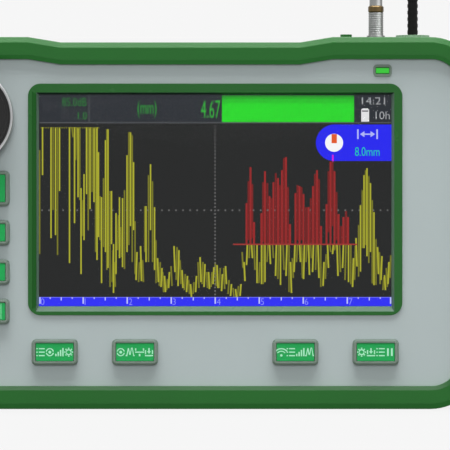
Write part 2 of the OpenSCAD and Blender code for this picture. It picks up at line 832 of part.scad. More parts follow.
module rear_case()
  color(panel_grey) upright() difference() {
    union() {
      difference() {
        plate(case_back, case_front) outline(case_in);
        plate(back_inner, case_front + over) outline(case_in + case_wall);
      }
      for (p = screw_holes)
        rod(p, case_back + case_wall / 2, boss_join, case_boss_r);
      plate(case_back + case_wall / 2, case_back + door_t + door_ledge)
        door_outline(door_ledge);
      plate(case_back + case_wall / 2, bay_deep + bay_wall)
        centred_rect(0, bay_z + bay_h / 2, bay_w + 2 * bay_wall, bay_h + 2 * bay_wall, bay_wall);
      for (p = coin_places)
        rod(p, case_back + case_wall / 2, coin_tip + bay_wall, coin_boss_r);
      plate(case_back + case_wall / 2, stand_floor + tray_t)
        tongue(recess_half + tray_t, recess_low - tray_t, recess_high + tray_t, stand_r + tray_t);
      for (side = [-1, 1])
        translate([side * (recess_half + pin_block / 2), pivot_z, case_back + case_wall / 2])
          linear_extrude(stand_floor + tray_t - case_back - case_wall / 2)
            square([pin_block, 2 * pin_block_half], center = true);
    }
    // Battery bay, its door's seat and the door's screw holes
    plate(case_back - over, case_back + door_t)
      centred_rect(0, door_z + door_h / 2, door_w + 2 * door_gap, door_h + 2 * door_gap, door_r + door_gap);
    plate(case_back, bay_deep)
      centred_rect(0, bay_z + bay_h / 2, bay_w, bay_h, bay_wall / 2);
    for (p = coin_places)
      rod(p, case_back, coin_tip + fit, coin_shank_r + run);
    // Recess of the stand, its finger notch and the holes of its pins
    plate(case_back - over, stand_floor) {
      tongue(recess_half, recess_low, recess_high, stand_r);
      centred_rect(0, recess_low - notch_h / 2 + over / 2, notch_w, notch_h + over, notch_h / 2);
    }
    translate([-stand_w / 2 - pin_side - fit, pivot_z, pivot_out]) rotate([0, 90, 0])
      cylinder(h = stand_w + 2 * (pin_side + fit), r = pin_r + run);
    // Wells and holes of the case screws
    for (p = screw_holes) {
      rod(p, case_back - over, screw_seat, screw_well_r);
      rod(p, screw_seat - over, boss_join + over, screw_r + fit);
    }
    // Holes of the sockets in the top
    rotate([-90, 0, 0]) {
      for (x = [receive_x, transmit_x])
        post(x, socket_y, case_top - 2 * case_wall, case_top + over, socket_thread_r + run);
      post(data_x, socket_y, case_top - 2 * case_wall, case_top + over, data_barrel_d / 2 + run);
    }
  }

// A flat shape with square upper corners and round lower ones
module tongue(half, low, high, r) {
  translate([-half, low + r]) square([2 * half, high - low - r]);
  translate([r - half, low]) square([2 * (half - r), high - low]);
  for (side = [-1, 1])
    translate([side * (half - r), low + r]) circle(r);
}

module screen_bezel()
  color(bezel_green) upright() difference() {
    union() {
      plate(panel_out, bezel_out) centred_rect(bezel_x, bezel_z, bezel_w, bezel_h, bezel_r);
      plate(panel_back, panel_out + bezel_proud / 2)
        centred_rect(
          bezel_x, bezel_z, bezel_w - 2 * bezel_flange, bezel_h - 2 * bezel_flange, bezel_r - bezel_flange
        );
    }
    translate([screen_x0 - window_lap, screen_z0 - window_lap, panel_back - over])
      cube([screen_w + 2 * window_lap, screen_h + 2 * window_lap, window_t + over]);
    hull() {
      translate([screen_x0, screen_z0, window_front - skin]) cube([screen_w, screen_h, skin]);
      translate([screen_x0 - slope_side, screen_z0 - slope_bottom, bezel_out])
        cube([screen_w + 2 * slope_side, screen_h + slope_bottom + slope_top, skin]);
    }
  }

module display_window()
  color([0.2, 0.22, 0.24, 0.6]) upright()
    translate([screen_x0 - window_lap + fit, screen_z0 - window_lap + fit, panel_back])
      cube([screen_w + 2 * (window_lap - fit), screen_h + 2 * (window_lap - fit), window_t]);

module lcd_module()
  color(metal_grey) upright() {
    plate(lcd_back + lcd_step, panel_back) translate([lcd_x0, lcd_z0]) square([lcd_w, lcd_h]);
    plate(lcd_back, lcd_back + lcd_step)
      translate([lcd_x0 + lcd_rim, lcd_z0 + lcd_rim]) square([lcd_w - 2 * lcd_rim, lcd_h - 2 * lcd_rim]);
    for (sx = [-1, 1], sz = [-1, 1])
      rod(
        [bezel_x + sx * board_w * lcd_posts_share, bezel_z + sz * board_h * lcd_posts_share],
        board_front, lcd_back + lcd_step, lcd_post_r
      );
  }

module main_board()
  color([0.1, 0.36, 0.2]) upright() {
    plate(board_front - board_t, board_front) translate([board_x0, board_z0]) square([board_w, board_h]);
    for (c = chip_shares)
      plate(board_front - board_t - chip_h, board_front - board_t / 2)
        translate([board_x0 + c[0] * board_w, board_z0 + c[1] * board_h])
          square([c[2] * board_w, c[3] * board_h], center = true);
  }

// One key frame: its rim's section drawn round the key's rectangle
module frame_section() {
  translate([-frame_rim, panel_out]) square([frame_rim, frame_proud - frame_bevel]);
  polygon([
    [-frame_rim, panel_out + frame_proud / 2], [0, panel_out + frame_proud / 2],
    [0, panel_out + frame_proud - frame_bevel], [-frame_bevel, panel_out + frame_proud],
    [-frame_rim, panel_out + frame_proud]
  ]);
}

module key_frames()
  color(metal_grey) upright()
    for (key = all_keys) {
      x0 = key[0] - key[2] / 2;
      x1 = key[0] + key[2] / 2;
      z1 = key[1] + key[3] / 2;
      round_edge(x0, x1, key[1] - key[3] / 2, z1, frame_r) frame_section();
    }

// A moulded key cap that its flange holds behind the panel
module key_cap(key)
  color(key_green) upright() {
    plate(flange_out - flange_t / 2, cap_out)
      key_shape(key, frame_rim + cap_fit, frame_hole_r);
    plate(cap_back, flange_out)
      key_shape(key, frame_rim + cap_fit - flange_w, frame_hole_r + flange_w);
  }

// The flat outline of the keypad's board and mat
module key_area(inset)
  polygon([
    [-board_left + inset, board_low + inset], [board_right - inset, board_low + inset],
    [board_right - inset, board_step_z - inset], [-board_step_x - inset, board_step_z - inset],
    [-board_step_x - inset, board_high - inset], [-board_left + inset, board_high - inset]
  ]);

module key_mat()
  color([0.8, 0.8, 0.76]) upright() {
    plate(key_board_out, mat_out) difference() {
      key_area(mat_inset);
      for (p = key_posts)
        translate(p) circle(key_post_r + fit);
    }
    for (key = all_keys)
      rod([key[0], key[1]], mat_out - mat_t / 2, dome_out, dome_r);
  }

module key_board()
  color([0.1, 0.36, 0.2]) upright()
    plate(key_board_out - board_t, key_board_out) key_area(0);

module lamp_frame()
  color(metal_grey) upright() difference() {
    union() {
      plate(panel_out, panel_out + lamp_proud) centred_rect(lamp_x, lamp_z, lamp_w, lamp_h, lamp_r);
      plate(panel_back - lamp_tail, panel_out + lamp_proud / 2)
        lamp_outline(0);
    }
    plate(panel_back - lamp_tail - over, panel_out + lamp_proud + over)
      centred_rect(lamp_x, lamp_z, lens_w + 2 * run, lens_h + 2 * run, lens_r + run);
  }

module lamp_lens()
  color([0.26, 0.76, 0.26]) upright()
    plate(panel_back - lamp_tail, panel_out + lamp_proud - lens_sunk)
      centred_rect(lamp_x, lamp_z, lens_w, lens_h, lens_r);

// Everything on the knob's own axis is drawn with that axis at the origin
module at_knob() upright() translate([-pad_x, knob_z, 0]) children();

module encoder_body()
  color(metal_grey) at_knob() difference() {
    union() {
      translate([-encoder_w / 2, -encoder_w / 2, encoder_back]) cube([encoder_w, encoder_w, encoder_t]);
      rod([0, 0], panel_back - over, bushing_out, bushing_r);
    }
    rod([0, 0], cavity_low, cavity_high, plunger_r + run);
    rod([0, 0], cavity_low, bushing_out + over, shaft_r + run);
  }

module encoder_nut()
  color(metal_grey) at_knob() difference() {
    union() {
      rod([0, 0], panel_out, panel_out + washer_t, washer_r);
      translate([0, 0, panel_out + washer_t / 2]) cylinder(h = washer_t / 2 + nut_t, r = nut_r, $fn = 6);
    }
    rod([0, 0], panel_out - over, panel_out + washer_t + nut_t + over, bushing_r + run);
  }

module encoder_plunger()
  color([0.9, 0.88, 0.8]) at_knob() rod([0, 0], plunger_low, plunger_low + plunger_t, plunger_r);

module encoder_shaft()
  color(metal_grey) at_knob() {
    rod([0, 0], plunger_low + plunger_t, plunger_low + plunger_t + collar_t, collar_r);
    rod([0, 0], plunger_low + plunger_t + collar_t / 2, hub_low, shaft_r);
    difference() {
      rod([0, 0], hub_low - over, shaft_top, shaft_r);
      translate([shaft_flat, -shaft_r, hub_low]) cube([shaft_r, shaft_d, shaft_top - hub_low + over]);
    }
  }

module knob()
  color(dark) at_knob() difference() {
    rotate_extrude() polygon([
      [0, knob_out - face_t], [ring_inner, knob_out - face_t],
      [ring_inner, knob_out - ring_t], [ring_outer, knob_out - ring_t], [ring_outer, knob_out],
      [knob_r - edge_chamfer, knob_out], [knob_r, knob_out - edge_chamfer], [knob_r, knob_back],
      [knob_r - knob_wall, knob_back], [knob_r - knob_wall, knob_out - knob_top_t],
      [knob_hub_r, knob_out - knob_top_t], [knob_hub_r, hub_low], [0, hub_low]
    ]);
    intersection() {
      rod([0, 0], hub_low - over, knob_out - face_t - knob_web, shaft_r + run);
      translate([-knob_r, -knob_r, hub_low - over])
        cube([knob_r + shaft_flat + run, knob_d, knob_top_t + knob_proud + over]);
    }
    for (i = [0 : grip_flutes - 1])
      rotate(360 * i / grip_flutes)
        rod([knob_r + flute_r / 2, 0], knob_back - over, knob_out - flute_foot, flute_r);
  }

module knob_ring()
  color([0.85, 0.86, 0.87]) at_knob() rotate_extrude() polygon([
    [ring_inner + run, knob_out - ring_t], [ring_outer - run, knob_out - ring_t],
    [ring_outer - run, knob_out - ring_t / 4], [ring_outer - ring_w / 3, knob_out],
    [ring_inner + ring_w / 3, knob_out], [ring_inner + run, knob_out - ring_t / 4]
  ]);

module knob_face()
  color([0.15, 0.15, 0.15]) at_knob() difference() {
    rod([0, 0], knob_out - face_t, knob_out - face_sunk, face_r);
    rotate(dimple_angle)
      translate([dimple_out, 0, knob_out - face_sunk - dimple_depth + dimple_sphere]) sphere(dimple_sphere);
  }

module battery_door()
  color(panel_grey) upright() difference() {
    plate(case_back, case_back + door_t) centred_rect(0, door_z + door_h / 2, door_w, door_h, door_r);
    for (p = coin_places) {
      rod(p, case_back - over, coin_seat, coin_d / 2 + fit);
      rod(p, case_back, case_back + door_t + over, coin_shank_r + fit);
    }
    for (i = [0 : door_grooves - 1])
      plate(case_back - over, case_back + groove_deep)
        centred_rect(
          0, door_z + door_h / 2 + (i - (door_grooves - 1) / 2) * door_groove_pitch,
          door_groove_w, groove_wide, groove_wide / 3
        );
  }

module battery_door_screws()
  color(metal_grey) upright()
    for (p = coin_places)
      difference() {
        union() {
          rod(p, coin_seat - coin_h, coin_seat, coin_d / 2);
          rod(p, coin_seat - coin_h / 2, coin_tip, coin_shank_r);
        }
        translate([p.x - coin_d / 2 - over, p.y - slot_w / 2, coin_seat - coin_h - over])
          cube([coin_d + 2 * over, slot_w, over + coin_h / 2]);
      }

module battery_pack()
  color([0.25, 0.3, 0.45]) upright()
    translate([-pack_w / 2, bay_z + pack_gap + pack_h / 2, pack_mid]) rotate([0, 90, 0])
      linear_extrude(pack_w) centred_rect(0, 0, pack_d, pack_h, pack_r);

module case_screws()
  color(metal_grey) upright()
    for (p = screw_holes)
      difference() {
        union() {
          rod(p, screw_seat - screw_head_h, screw_seat, screw_head_r);
          rod(p, screw_seat - screw_head_h / 2, screw_tip, screw_r);
        }
        translate([p.x, p.y, screw_seat - screw_head_h - over])
          cylinder(h = over + screw_head_h / 2, r = screw_r / 2 + fit, $fn = 6);
      }

module stand()
  color(panel_grey) upright() difference() {
    union() {
      plate(case_back, stand_out) tongue(stand_w / 2, stand_foot, pivot_z, stand_r);
      translate([-stand_w / 2, pivot_z, pivot_out]) rotate([0, 90, 0])
        cylinder(h = stand_w, r = knuckle_r);
    }
    for (i = [0 : rib_n - 1])
      plate(case_back - over, case_back + groove_deep)
        centred_rect(0, stand_foot + rib_start + i * rib_pitch, rib_w, rib_h, rib_h / 3);
    for (side = [-1, 1])
      translate([side * (stand_w / 2 - ear_w / 2), pivot_z, pivot_out]) rotate([0, 90, 0])
        cylinder(h = ear_w + over, r = pin_r + run, center = true);
  }

module stand_pins()
  color(metal_grey) upright()
    for (side = [-1, 1])
      translate([side * stand_w / 2, pivot_z, pivot_out]) rotate([0, 90, 0])
        cylinder(h = pin_len, r = pin_r, center = true);

module stand_pad()
  color(dark) upright()
    plate(case_back, stand_out)
      centred_rect(0, stand_foot - pad_t / 2, pad_w, pad_t, pad_t / 3);

module probe_sockets()
  color([0.75, 0.76, 0.78])
    for (x = [receive_x, transmit_x])
      difference() {
        union() {
          post(x, socket_y, socket_z, nose_root, socket_flange_d / 2);
          post(x, socket_y, socket_z, nose_top, nose_d / 2);
          post(x, socket_y, socket_z - socket_thread_h, nose_root - socket_flange_h / 2, socket_thread_r);
        }
        post(x, socket_y, socket_floor, nose_top + over, socket_bore_d / 2);
      }

module data_socket()
  color([0.75, 0.76, 0.78]) difference() {
    union() {
      post(data_x, socket_y, socket_z, grip_z, data_flange_d / 2);
      post(data_x, socket_y, socket_z - data_barrel_h, grip_z - socket_flange_h / 2, data_barrel_d / 2);
    }
    post(data_x, socket_y, grip_z - data_bore_h, grip_z + over, data_bore_r);
  }

module socket_nuts()
  color(metal_grey) {
    for (x = [receive_x, transmit_x])
      ring_nut(x, socket_nut_r, socket_thread_r + run);
    ring_nut(data_x, data_nut_r, data_barrel_d / 2 + run);
  }

module ring_nut(x, r, bore)
  difference() {
    translate([x, socket_y, case_top - case_wall - socket_nut_t])
      cylinder(h = socket_nut_t, r = r, $fn = 6);
    post(x, socket_y, case_top - case_wall - socket_nut_t - over, case_top - case_wall + over, bore);
  }

module probe_plug_sleeve()
  color([0.75, 0.75, 0.77]) difference() {
    union() {
      post(transmit_x, socket_y, foot_z, foot_top, foot_d / 2);
      post(transmit_x, socket_y, foot_z + foot_h / 2, sleeve_top, sleeve_d / 2);
    }
    difference() {
      post(transmit_x, socket_y, foot_z - over, nose_top + fit, nose_d / 2 + fit);
      post(transmit_x, socket_y, foot_z - 2 * over, nose_top + over, plug_nose_r);
    }
    for (i = [0 : groove_n - 1])
      translate([transmit_x, socket_y, foot_top + groove_start + i * groove_pitch])
        rotate_extrude() translate([sleeve_d / 2 - groove_d, 0]) square([groove_d + over, groove_w]);
  }

module probe_plug_ring()
  color([0.4, 0.3, 0.16])
    translate([transmit_x, socket_y, sleeve_top]) rotate_extrude() polygon([
      [0, 0], [brass_d / 2 - brass_round, 0], [brass_d / 2, brass_round],
      [brass_d / 2, brass_h - brass_round], [brass_d / 2 - brass_round, brass_h], [0, brass_h]
    ]);

module probe_plug_nut()
  color([0.75, 0.75, 0.77]) {
    post(transmit_x, socket_y, brass_top, nut_top - nut_shoulder, plug_nut_d / 2);
    translate([transmit_x, socket_y, nut_top - nut_shoulder])
      cylinder(h = nut_shoulder, r1 = plug_nut_d / 2, r2 = relief_foot_r);
  }

module probe_plug_relief()
  color(dark) translate([transmit_x, socket_y, nut_top])
    cylinder(h = relief_h, r1 = relief_foot_r, r2 = relief_tip_r);

module data_plug()
  color(dark) {
    difference() {
      post(data_x, socket_y, grip_z, grip_top, grip_d / 2);
      for (i = [0 : grip_flat_n - 1])
        translate([data_x, socket_y, 0]) rotate(360 * i / grip_flat_n)
          post(grip_d / 2 + grip_flute_r / 2, 0, grip_z - over, grip_top + over, grip_flute_r);
    }
    post(data_x, socket_y, grip_z - data_bore_h + over, grip_z + grip_h / 2, data_nose_d / 2);
  }

module data_plug_relief()
  color(dark) {
    translate([data_x, socket_y, grip_top]) cylinder(h = boot_h, r1 = boot_d / 2, r2 = boot_tip_r);
    for (i = [0 : boot_rib_n - 1])
      post(
        data_x, socket_y, grip_top + (i + 0.5) * boot_h / boot_rib_n - boot_rib_h / 2,
        grip_top + (i + 0.5) * boot_h / boot_rib_n + boot_rib_h / 2, boot_d / 2 + boot_rib_d
      );
  }

// Directions and section points along a lead
function along_lead(p, i) = let (d = p[min(i + 1, len(p) - 1)] - p[max(i - 1, 0)]) d / norm(d);
function square_to(t, n) = let (m = n - t * (n * t)) m / norm(m);
function carried(p, i, n) =
  i == len(p) ? [] : let (m = square_to(along_lead(p, i), n)) concat([m], carried(p, i + 1, m));

// An unbroken tube through the points, with the first side vector given
module tube(path, r, sides, first) {
  side = carried(path, 0, first);
  n = len(path);
  points = [
    for (i = [0 : n - 1])
      let (t = along_lead(path, i), m = side[i], b = cross(t, m))
        for (k = [0 : sides - 1])
          path[i] + r * (m * cos(360 * k / sides) + b * sin(360 * k / sides))
  ];
  walls = [
    for (i = [0 : n - 2], k = [0 : sides - 1])
      let (a = i * sides + k, b = i * sides + (k + 1) % sides)
        for (f = [[a, a + sides, b + sides], [a, b + sides, b]]) f
  ];
  start = [for (k = [1 : sides - 2]) [0, k, k + 1]];
  last = (n - 1) * sides;
  end = [for (k = [1 : sides - 2]) [last, last + k + 1, last + k]];
  polyhedron(points, concat(walls, start, end), convexity = 10);
}

// A coil in an even number of layers that spiral in and out at a steady rate. It starts one
// diameter before its first turn, at the given point, and runs towards -X and then away from it.
function coil_pitch(d) = d + lay_gap;
function coil_outer(r, d, turns, layers) = r + coil_pitch(d) * turns / layers / 2;
function coil_middle(from, r, d, turns, layers) = from + [-d, coil_outer(r, d, turns, layers), 0];
function climb(s) = (1 - cos(180 * min(max(s, 0), 1))) / 2;
function coil_at(u, from, r, d, turns, layers) =
  let (
    lay = turns / layers,
    layer = min(floor(u / lay), layers - 1),
    part = u / lay - layer,
    inward = layer % 2 == 0 ? part : 1 - part,
    radius = coil_outer(r, d, turns, layers) - coil_pitch(d) * lay * inward,
    up = [for (b = [1 : layers - 1]) climb((u - b * lay) * 2 + 0.5)],
    lift = coil_pitch(d) * (up * [for (b = up) 1]),
    a = -90 - 360 * u
  )
    coil_middle(from, r, d, turns, layers) + [radius * cos(a), radius * sin(a), lift];
function coil_path(from, r, d, turns, layers) =
  let (
    loops = [for (k = [0 : turns * loop_rings]) coil_at(k / loop_rings, from, r, d, turns, layers)]
  )
    concat([from], loops, [loops[len(loops) - 1] - [d, 0, 0]]);

// Moves a route's first and last points to the given ones; their neighbours follow by shares
function faded(i) = max(0, min(1, (ease_n + 1 - i) / ease_n));
function joined(p, first, last) = [
  for (i = [0 : len(p) - 1])
    p[i] + (first - p[0]) * faded(i) + (last - p[len(p) - 1]) * faded(len(p) - 1 - i)
];
function coil_low(d) = tie_t + tie_gap + d / 2;

// Least gap of a coil to itself, over points at least three quarters of a turn apart
function coil_gap(p, d) = min([
  for (i = [0 : len(p) - 1], j = [i + loop_rings * 3 / 4 : 1 : len(p) - 1]) norm(p[i] - p[j])
]) - d;
function path_length(p) = len(p) < 2 ? 0 : [for (i = [1 : len(p) - 1]) norm(p[i] - p[i - 1])]
  * [for (i = [1 : len(p) - 1]) 1];

probe_join = [58.5, 47.6, coil_low(probe_lead_d)];
data_join = [-28, 41, coil_low(data_lead_d)];
probe_free = joined(probe_route, [transmit_x, socket_y, relief_top], probe_join);
data_free = joined(data_route, [data_x, socket_y, boot_top], data_join);
probe_coil = coil_path(probe_join, probe_coil_r, probe_lead_d, probe_turns, probe_layers);
data_coil = coil_path(data_join, data_coil_r, data_lead_d, data_turns, data_layers);
probe_far = joined(probe_end, probe_coil[len(probe_coil) - 1], probe_end[len(probe_end) - 1]);
data_far = joined(data_end, data_coil[len(data_coil) - 1], [usb_x, usb_y, usb_h / 2]);
echo(str("probe lead coil, least gap to itself: ", coil_gap(probe_coil, probe_lead_d)));
echo(str("data lead coil, least gap to itself: ", coil_gap(data_coil, data_lead_d)));
echo(str("probe lead length: ", path_length(probe_free) + path_length(probe_coil) + path_length(probe_far)));
echo(str("data lead length: ", path_length(data_free) + path_length(data_coil) + path_length(data_far)));
echo(str("coil ends: ", probe_coil[len(probe_coil) - 1], data_coil[len(data_coil) - 1]));

module probe_lead()
  color(dark) {
    tube(probe_free, probe_lead_d / 2, lead_sides, [1, 0, 0]);
    tube(probe_far, probe_lead_d / 2, lead_sides, [0, 0, 1]);
  }

module probe_lead_coil() color(dark) tube(probe_coil, probe_lead_d / 2, coil_sides, [0, 0, 1]);

module data_lead()
  color(dark) {
    tube(data_free, data_lead_d / 2, lead_sides, [1, 0, 0]);
    tube(data_far, data_lead_d / 2, lead_sides, [0, 0, 1]);
  }

module data_lead_coil() color(dark) tube(data_coil, data_lead_d / 2, coil_sides, [0, 0, 1]);

// One strap round a coil's bundle, at an angle seen from above
module tie(middle, r, d, turns, layers, angle) {
  outer = coil_outer(r, d, turns, layers) + d / 2 + tie_gap;
  inner_edge = 2 * r - coil_outer(r, d, turns, layers) - d / 2;
  inner = inner_edge - tie_gap - pow(tie_w, 2) / 8 / inner_edge;
  high = tie_t + layers * coil_pitch(d) + tie_gap;
  translate([middle.x, middle.y, 0]) rotate(angle) translate([0, tie_w / 2, 0]) rotate([90, 0, 0])
    linear_extrude(tie_w) difference() {
      round_rect(inner - tie_t, outer + tie_t, 0, high + tie_t, tie_r + tie_t);
      round_rect(inner, outer, tie_t, high, tie_r);
    }
}

module coil_ties()
  color([0.1, 0.1, 0.1]) {
    for (a = probe_tie_angles)
      tie(
        coil_middle(probe_join, probe_coil_r, probe_lead_d, probe_turns, probe_layers),
        probe_coil_r, probe_lead_d, probe_turns, probe_layers, a
      );
    for (a = data_tie_angles)
      tie(
        coil_middle(data_join, data_coil_r, data_lead_d, data_turns, data_layers),
        data_coil_r, data_lead_d, data_turns, data_layers, a
      );
  }

// The probe's side view is drawn along its length and upwards
module probe_profile(points)
  translate([probe_x - probe_w / 2, probe_y, 0]) rotate([90, 0, 90]) linear_extrude(probe_w)
    polygon(points);

module probe_housing()
  color(metal_grey) {
    probe_profile([
      [probe_boss_len, wedge_h], [probe_len - wedge_slope, wedge_h], [probe_len - probe_slope, probe_h],
      [probe_boss_len + probe_step, probe_h], [probe_boss_len, probe_h - probe_step]
    ]);
    translate([probe_x, probe_y, probe_axis_z]) rotate([-90, 0, 0])
      cylinder(h = probe_boss_len + wedge_out / 2, r = probe_boss_r);
  }

module probe_wedge()
  color([0.85, 0.75, 0.45, 0.7]) probe_profile([
    [probe_boss_len + wedge_out, 0], [probe_len, 0], [probe_len - wedge_slope, wedge_h],
    [probe_boss_len + wedge_out, wedge_h]
  ]);

module usb_plug()
  color(dark) {
    translate([usb_x, usb_y, usb_h / 2]) rotate([0, -90, 0])
      cylinder(h = usb_neck_len + usb_r, r = usb_neck_r);
    translate([usb_x - usb_neck_len, usb_y, 0]) rotate([0, -90, 0])
      linear_extrude(usb_len - usb_neck_len) round_rect(0, usb_h, -usb_w / 2, usb_w / 2, usb_r);
  }

module usb_shell()
  color(metal_grey) difference() {
    translate([usb_x - usb_len - shell_len, usb_y - shell_w / 2, (usb_h - shell_h) / 2])
      cube([shell_len, shell_w, shell_h]);
    translate([
      usb_x - usb_len - shell_len - over, usb_y - shell_w / 2 + shell_wall,
      (usb_h - shell_h) / 2 + shell_wall + tongue_h
    ])
      cube([shell_len, shell_w - 2 * shell_wall, shell_h - 2 * shell_wall - tongue_h]);
    for (side = [-1, 1])
      translate([
        usb_x - usb_len - shell_len * (1 - latch_at_share) - latch / 2,
        usb_y + side * shell_w / 4 - latch / 2, (usb_h + shell_h) / 2 - shell_wall - over / 2
      ])
        cube([latch, latch, shell_wall + over]);
  }

front_panel();
rear_case();
front_bumper();
rear_bumper();
case_seal();
screen_bezel();
display_window();
lcd_module();
main_board();
key_frames();
key_mat();
key_board();
for (i = [0 : len(menu_keys) - 1])
  key_cap(menu_keys[i]);
for (i = [0 : len(side_keys) - 1])
  key_cap(side_keys[i]);
lamp_frame();
lamp_lens();
encoder_body();
encoder_nut();
encoder_plunger();
encoder_shaft();
knob();
knob_ring();
knob_face();
battery_pack();
battery_door();
battery_door_screws();
case_screws();
stand();
stand_pins();
stand_pad();
probe_sockets();
data_socket();
socket_nuts();
probe_plug_sleeve();
probe_plug_ring();
probe_plug_nut();
probe_plug_relief();
probe_lead();
probe_lead_coil();
probe_housing();
probe_wedge();
data_plug();
data_plug_relief();
data_lead();
data_lead_coil();
usb_plug();
usb_shell();
coil_ties();
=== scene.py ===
import math

import bmesh
import bpy
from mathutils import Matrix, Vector


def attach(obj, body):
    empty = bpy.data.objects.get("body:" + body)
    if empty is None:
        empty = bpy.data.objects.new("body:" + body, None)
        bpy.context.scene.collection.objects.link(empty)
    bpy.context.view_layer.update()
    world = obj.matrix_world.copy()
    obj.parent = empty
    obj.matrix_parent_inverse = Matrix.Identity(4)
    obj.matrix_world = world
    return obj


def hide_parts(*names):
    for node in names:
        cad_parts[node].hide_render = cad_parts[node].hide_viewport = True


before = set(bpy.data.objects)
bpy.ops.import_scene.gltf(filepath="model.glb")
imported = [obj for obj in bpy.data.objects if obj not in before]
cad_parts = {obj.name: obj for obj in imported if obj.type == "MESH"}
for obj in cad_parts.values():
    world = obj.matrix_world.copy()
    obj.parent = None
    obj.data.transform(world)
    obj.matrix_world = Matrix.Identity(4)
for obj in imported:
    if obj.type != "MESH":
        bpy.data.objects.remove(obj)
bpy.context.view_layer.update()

# Camera. A long lens two metres in front of the tester, square to its front and level
# with the middle of the case, as a catalogue picture of a flat instrument is taken.
aim_x, aim_z = 0.01918, 0.07914
camera_away = 2.025
lens = bpy.data.cameras.new("catalogue_lens")
lens.sensor_width = 36
lens.lens = 372.3
camera = bpy.data.objects.new("camera", lens)
camera.location = (aim_x, -camera_away, aim_z)
camera.rotation_euler = (math.radians(90), 0, 0)
scene = bpy.context.scene
scene.collection.objects.link(camera)
scene.camera = camera
scene.view_settings.view_transform = "Standard"

# Studio. A pale room, one strong soft lamp over the table, whose light falls steeply down
# the tester's front, and a wide soft lamp behind the camera that fills the shadows.
room_grey = (0.42, 0.42, 0.42, 1)
paper_white = (0.923, 0.923, 0.923, 1)
lamps = {
    "overhead_lamp": {"elevation": 88, "spread": 60, "power": 7.2, "mirrored": True},
    "fill_lamp": {"elevation": 8, "spread": 14, "power": 0.9, "mirrored": False},
}

room = bpy.data.worlds.new("studio_room")
scene.world = room
room.use_nodes = True


def node(tree, kind, inputs=None, **settings):
    """A shader node with its settings, and with values or links on its inputs."""
    made = tree.nodes.new(kind)
    for name, value in settings.items():
        setattr(made, name, value)
    for key, value in (inputs or {}).items():
        if isinstance(value, bpy.types.NodeSocket):
            tree.links.new(value, made.inputs[key])
        else:
            made.inputs[key].default_value = value
    return made


def seen_directly(tree):
    """One where the camera, a mirror or clear glass sees the surface, and zero for its light."""
    path = node(tree, "ShaderNodeLightPath")
    either = node(
        tree,
        "ShaderNodeMath",
        {0: path.outputs["Is Camera Ray"], 1: path.outputs["Is Glossy Ray"]},
        operation="MAXIMUM",
    )
    return node(
        tree,
        "ShaderNodeMath",
        {0: either.outputs[0], 1: path.outputs["Is Transmission Ray"]},
        operation="MAXIMUM",
    ).outputs[0]


tree = room.node_tree
tree.nodes.clear()
ambient = node(tree, "ShaderNodeBackground", {"Color": room_grey}).outputs[0]
backdrop = node(tree, "ShaderNodeBackground", {"Color": paper_white}).outputs[0]
both = node(tree, "ShaderNodeMixShader", {0: seen_directly(tree), 1: ambient, 2: backdrop})
node(tree, "ShaderNodeOutputWorld", {"Surface": both.outputs[0]})

for name, lamp in lamps.items():
    light = bpy.data.lights.new(name, "SUN")
    light.energy = lamp["power"]
    light.angle = math.radians(lamp["spread"])
    holder = bpy.data.objects.new(name, light)
    holder.rotation_euler = (math.radians(90 - lamp["elevation"]), 0, 0)
    holder.visible_glossy = lamp["mirrored"]
    scene.collection.objects.link(holder)

# Table top. White paper that keeps the contact shadow of the case, and otherwise runs
# into the background without an edge.
paper_half_width = 4
paper_grey = (0.12, 0.12, 0.12, 1)
paper_glow = (1.071, 1.071, 1.071, 1)
paper_glow_share = 0.8
shape = bmesh.new()
bmesh.ops.create_grid(shape, x_segments=1, y_segments=1, size=paper_half_width)
paper_mesh = bpy.data.meshes.new("table_paper")
shape.to_mesh(paper_mesh)
shape.free()
paper = bpy.data.objects.new("table_paper", paper_mesh)
scene.collection.objects.link(paper)
paper_material = bpy.data.materials.new("white_paper")
paper_material.use_nodes = True
tree = paper_material.node_tree
tree.nodes.clear()
flat = node(tree, "ShaderNodeBsdfDiffuse", {"Color": paper_grey}).outputs[0]
glow = node(tree, "ShaderNodeEmission", {"Color": paper_glow}).outputs[0]
share = node(
    tree, "ShaderNodeMath", {0: seen_directly(tree), 1: paper_glow_share}, operation="MULTIPLY"
).outputs[0]
both = node(tree, "ShaderNodeMixShader", {0: share, 1: flat, 2: glow})
node(tree, "ShaderNodeOutputMaterial", {"Surface": both.outputs[0]})
paper_mesh.materials.append(paper_material)

# Lead of the transmitting and receiving probe. Round black PVC over a coaxial core: up
# out of the plug, over the back of the case, then wound into a coil and out to the probe.
mm = 0.001


def paint(red, green, blue):
    """A colour given in steps of 0 to 255, as the linear values that a material takes."""
    return tuple(
        ((c / 255 + 0.055) / 1.055) ** 2.4 if c > 10 else c / 255 / 12.92
        for c in (red, green, blue)
    ) + (1,)


def effect(name, inputs, outputs):
    """An empty node group with its sockets, for an effect that several materials share."""
    tree = bpy.data.node_groups.new(name, "ShaderNodeTree")
    for label, value in inputs.items():
        kind = "NodeSocketColor" if isinstance(value, tuple) else "NodeSocketFloat"
        socket = tree.interface.new_socket(label, in_out="INPUT", socket_type=kind)
        socket.default_value = value
    for label, kind in outputs.items():
        tree.interface.new_socket(label, in_out="OUTPUT", socket_type=kind)
    return tree, node(tree, "NodeGroupInput").outputs, node(tree, "NodeGroupOutput").inputs


def toned_by(tree, noise, colour, drift):
    """A colour that grows paler and darker with a noise, and that noise centred on zero."""
    centred = node(tree, "ShaderNodeMath", {0: noise, 1: 0.5}, operation="SUBTRACT").outputs[0]
    scale = node(
        tree, "ShaderNodeMath", {0: centred, 1: drift, 2: 1.0}, operation="MULTIPLY_ADD"
    ).outputs[0]
    toned = node(tree, "ShaderNodeVectorMath", {0: colour, "Scale": scale}, operation="SCALE")
    return toned.outputs[0], centred


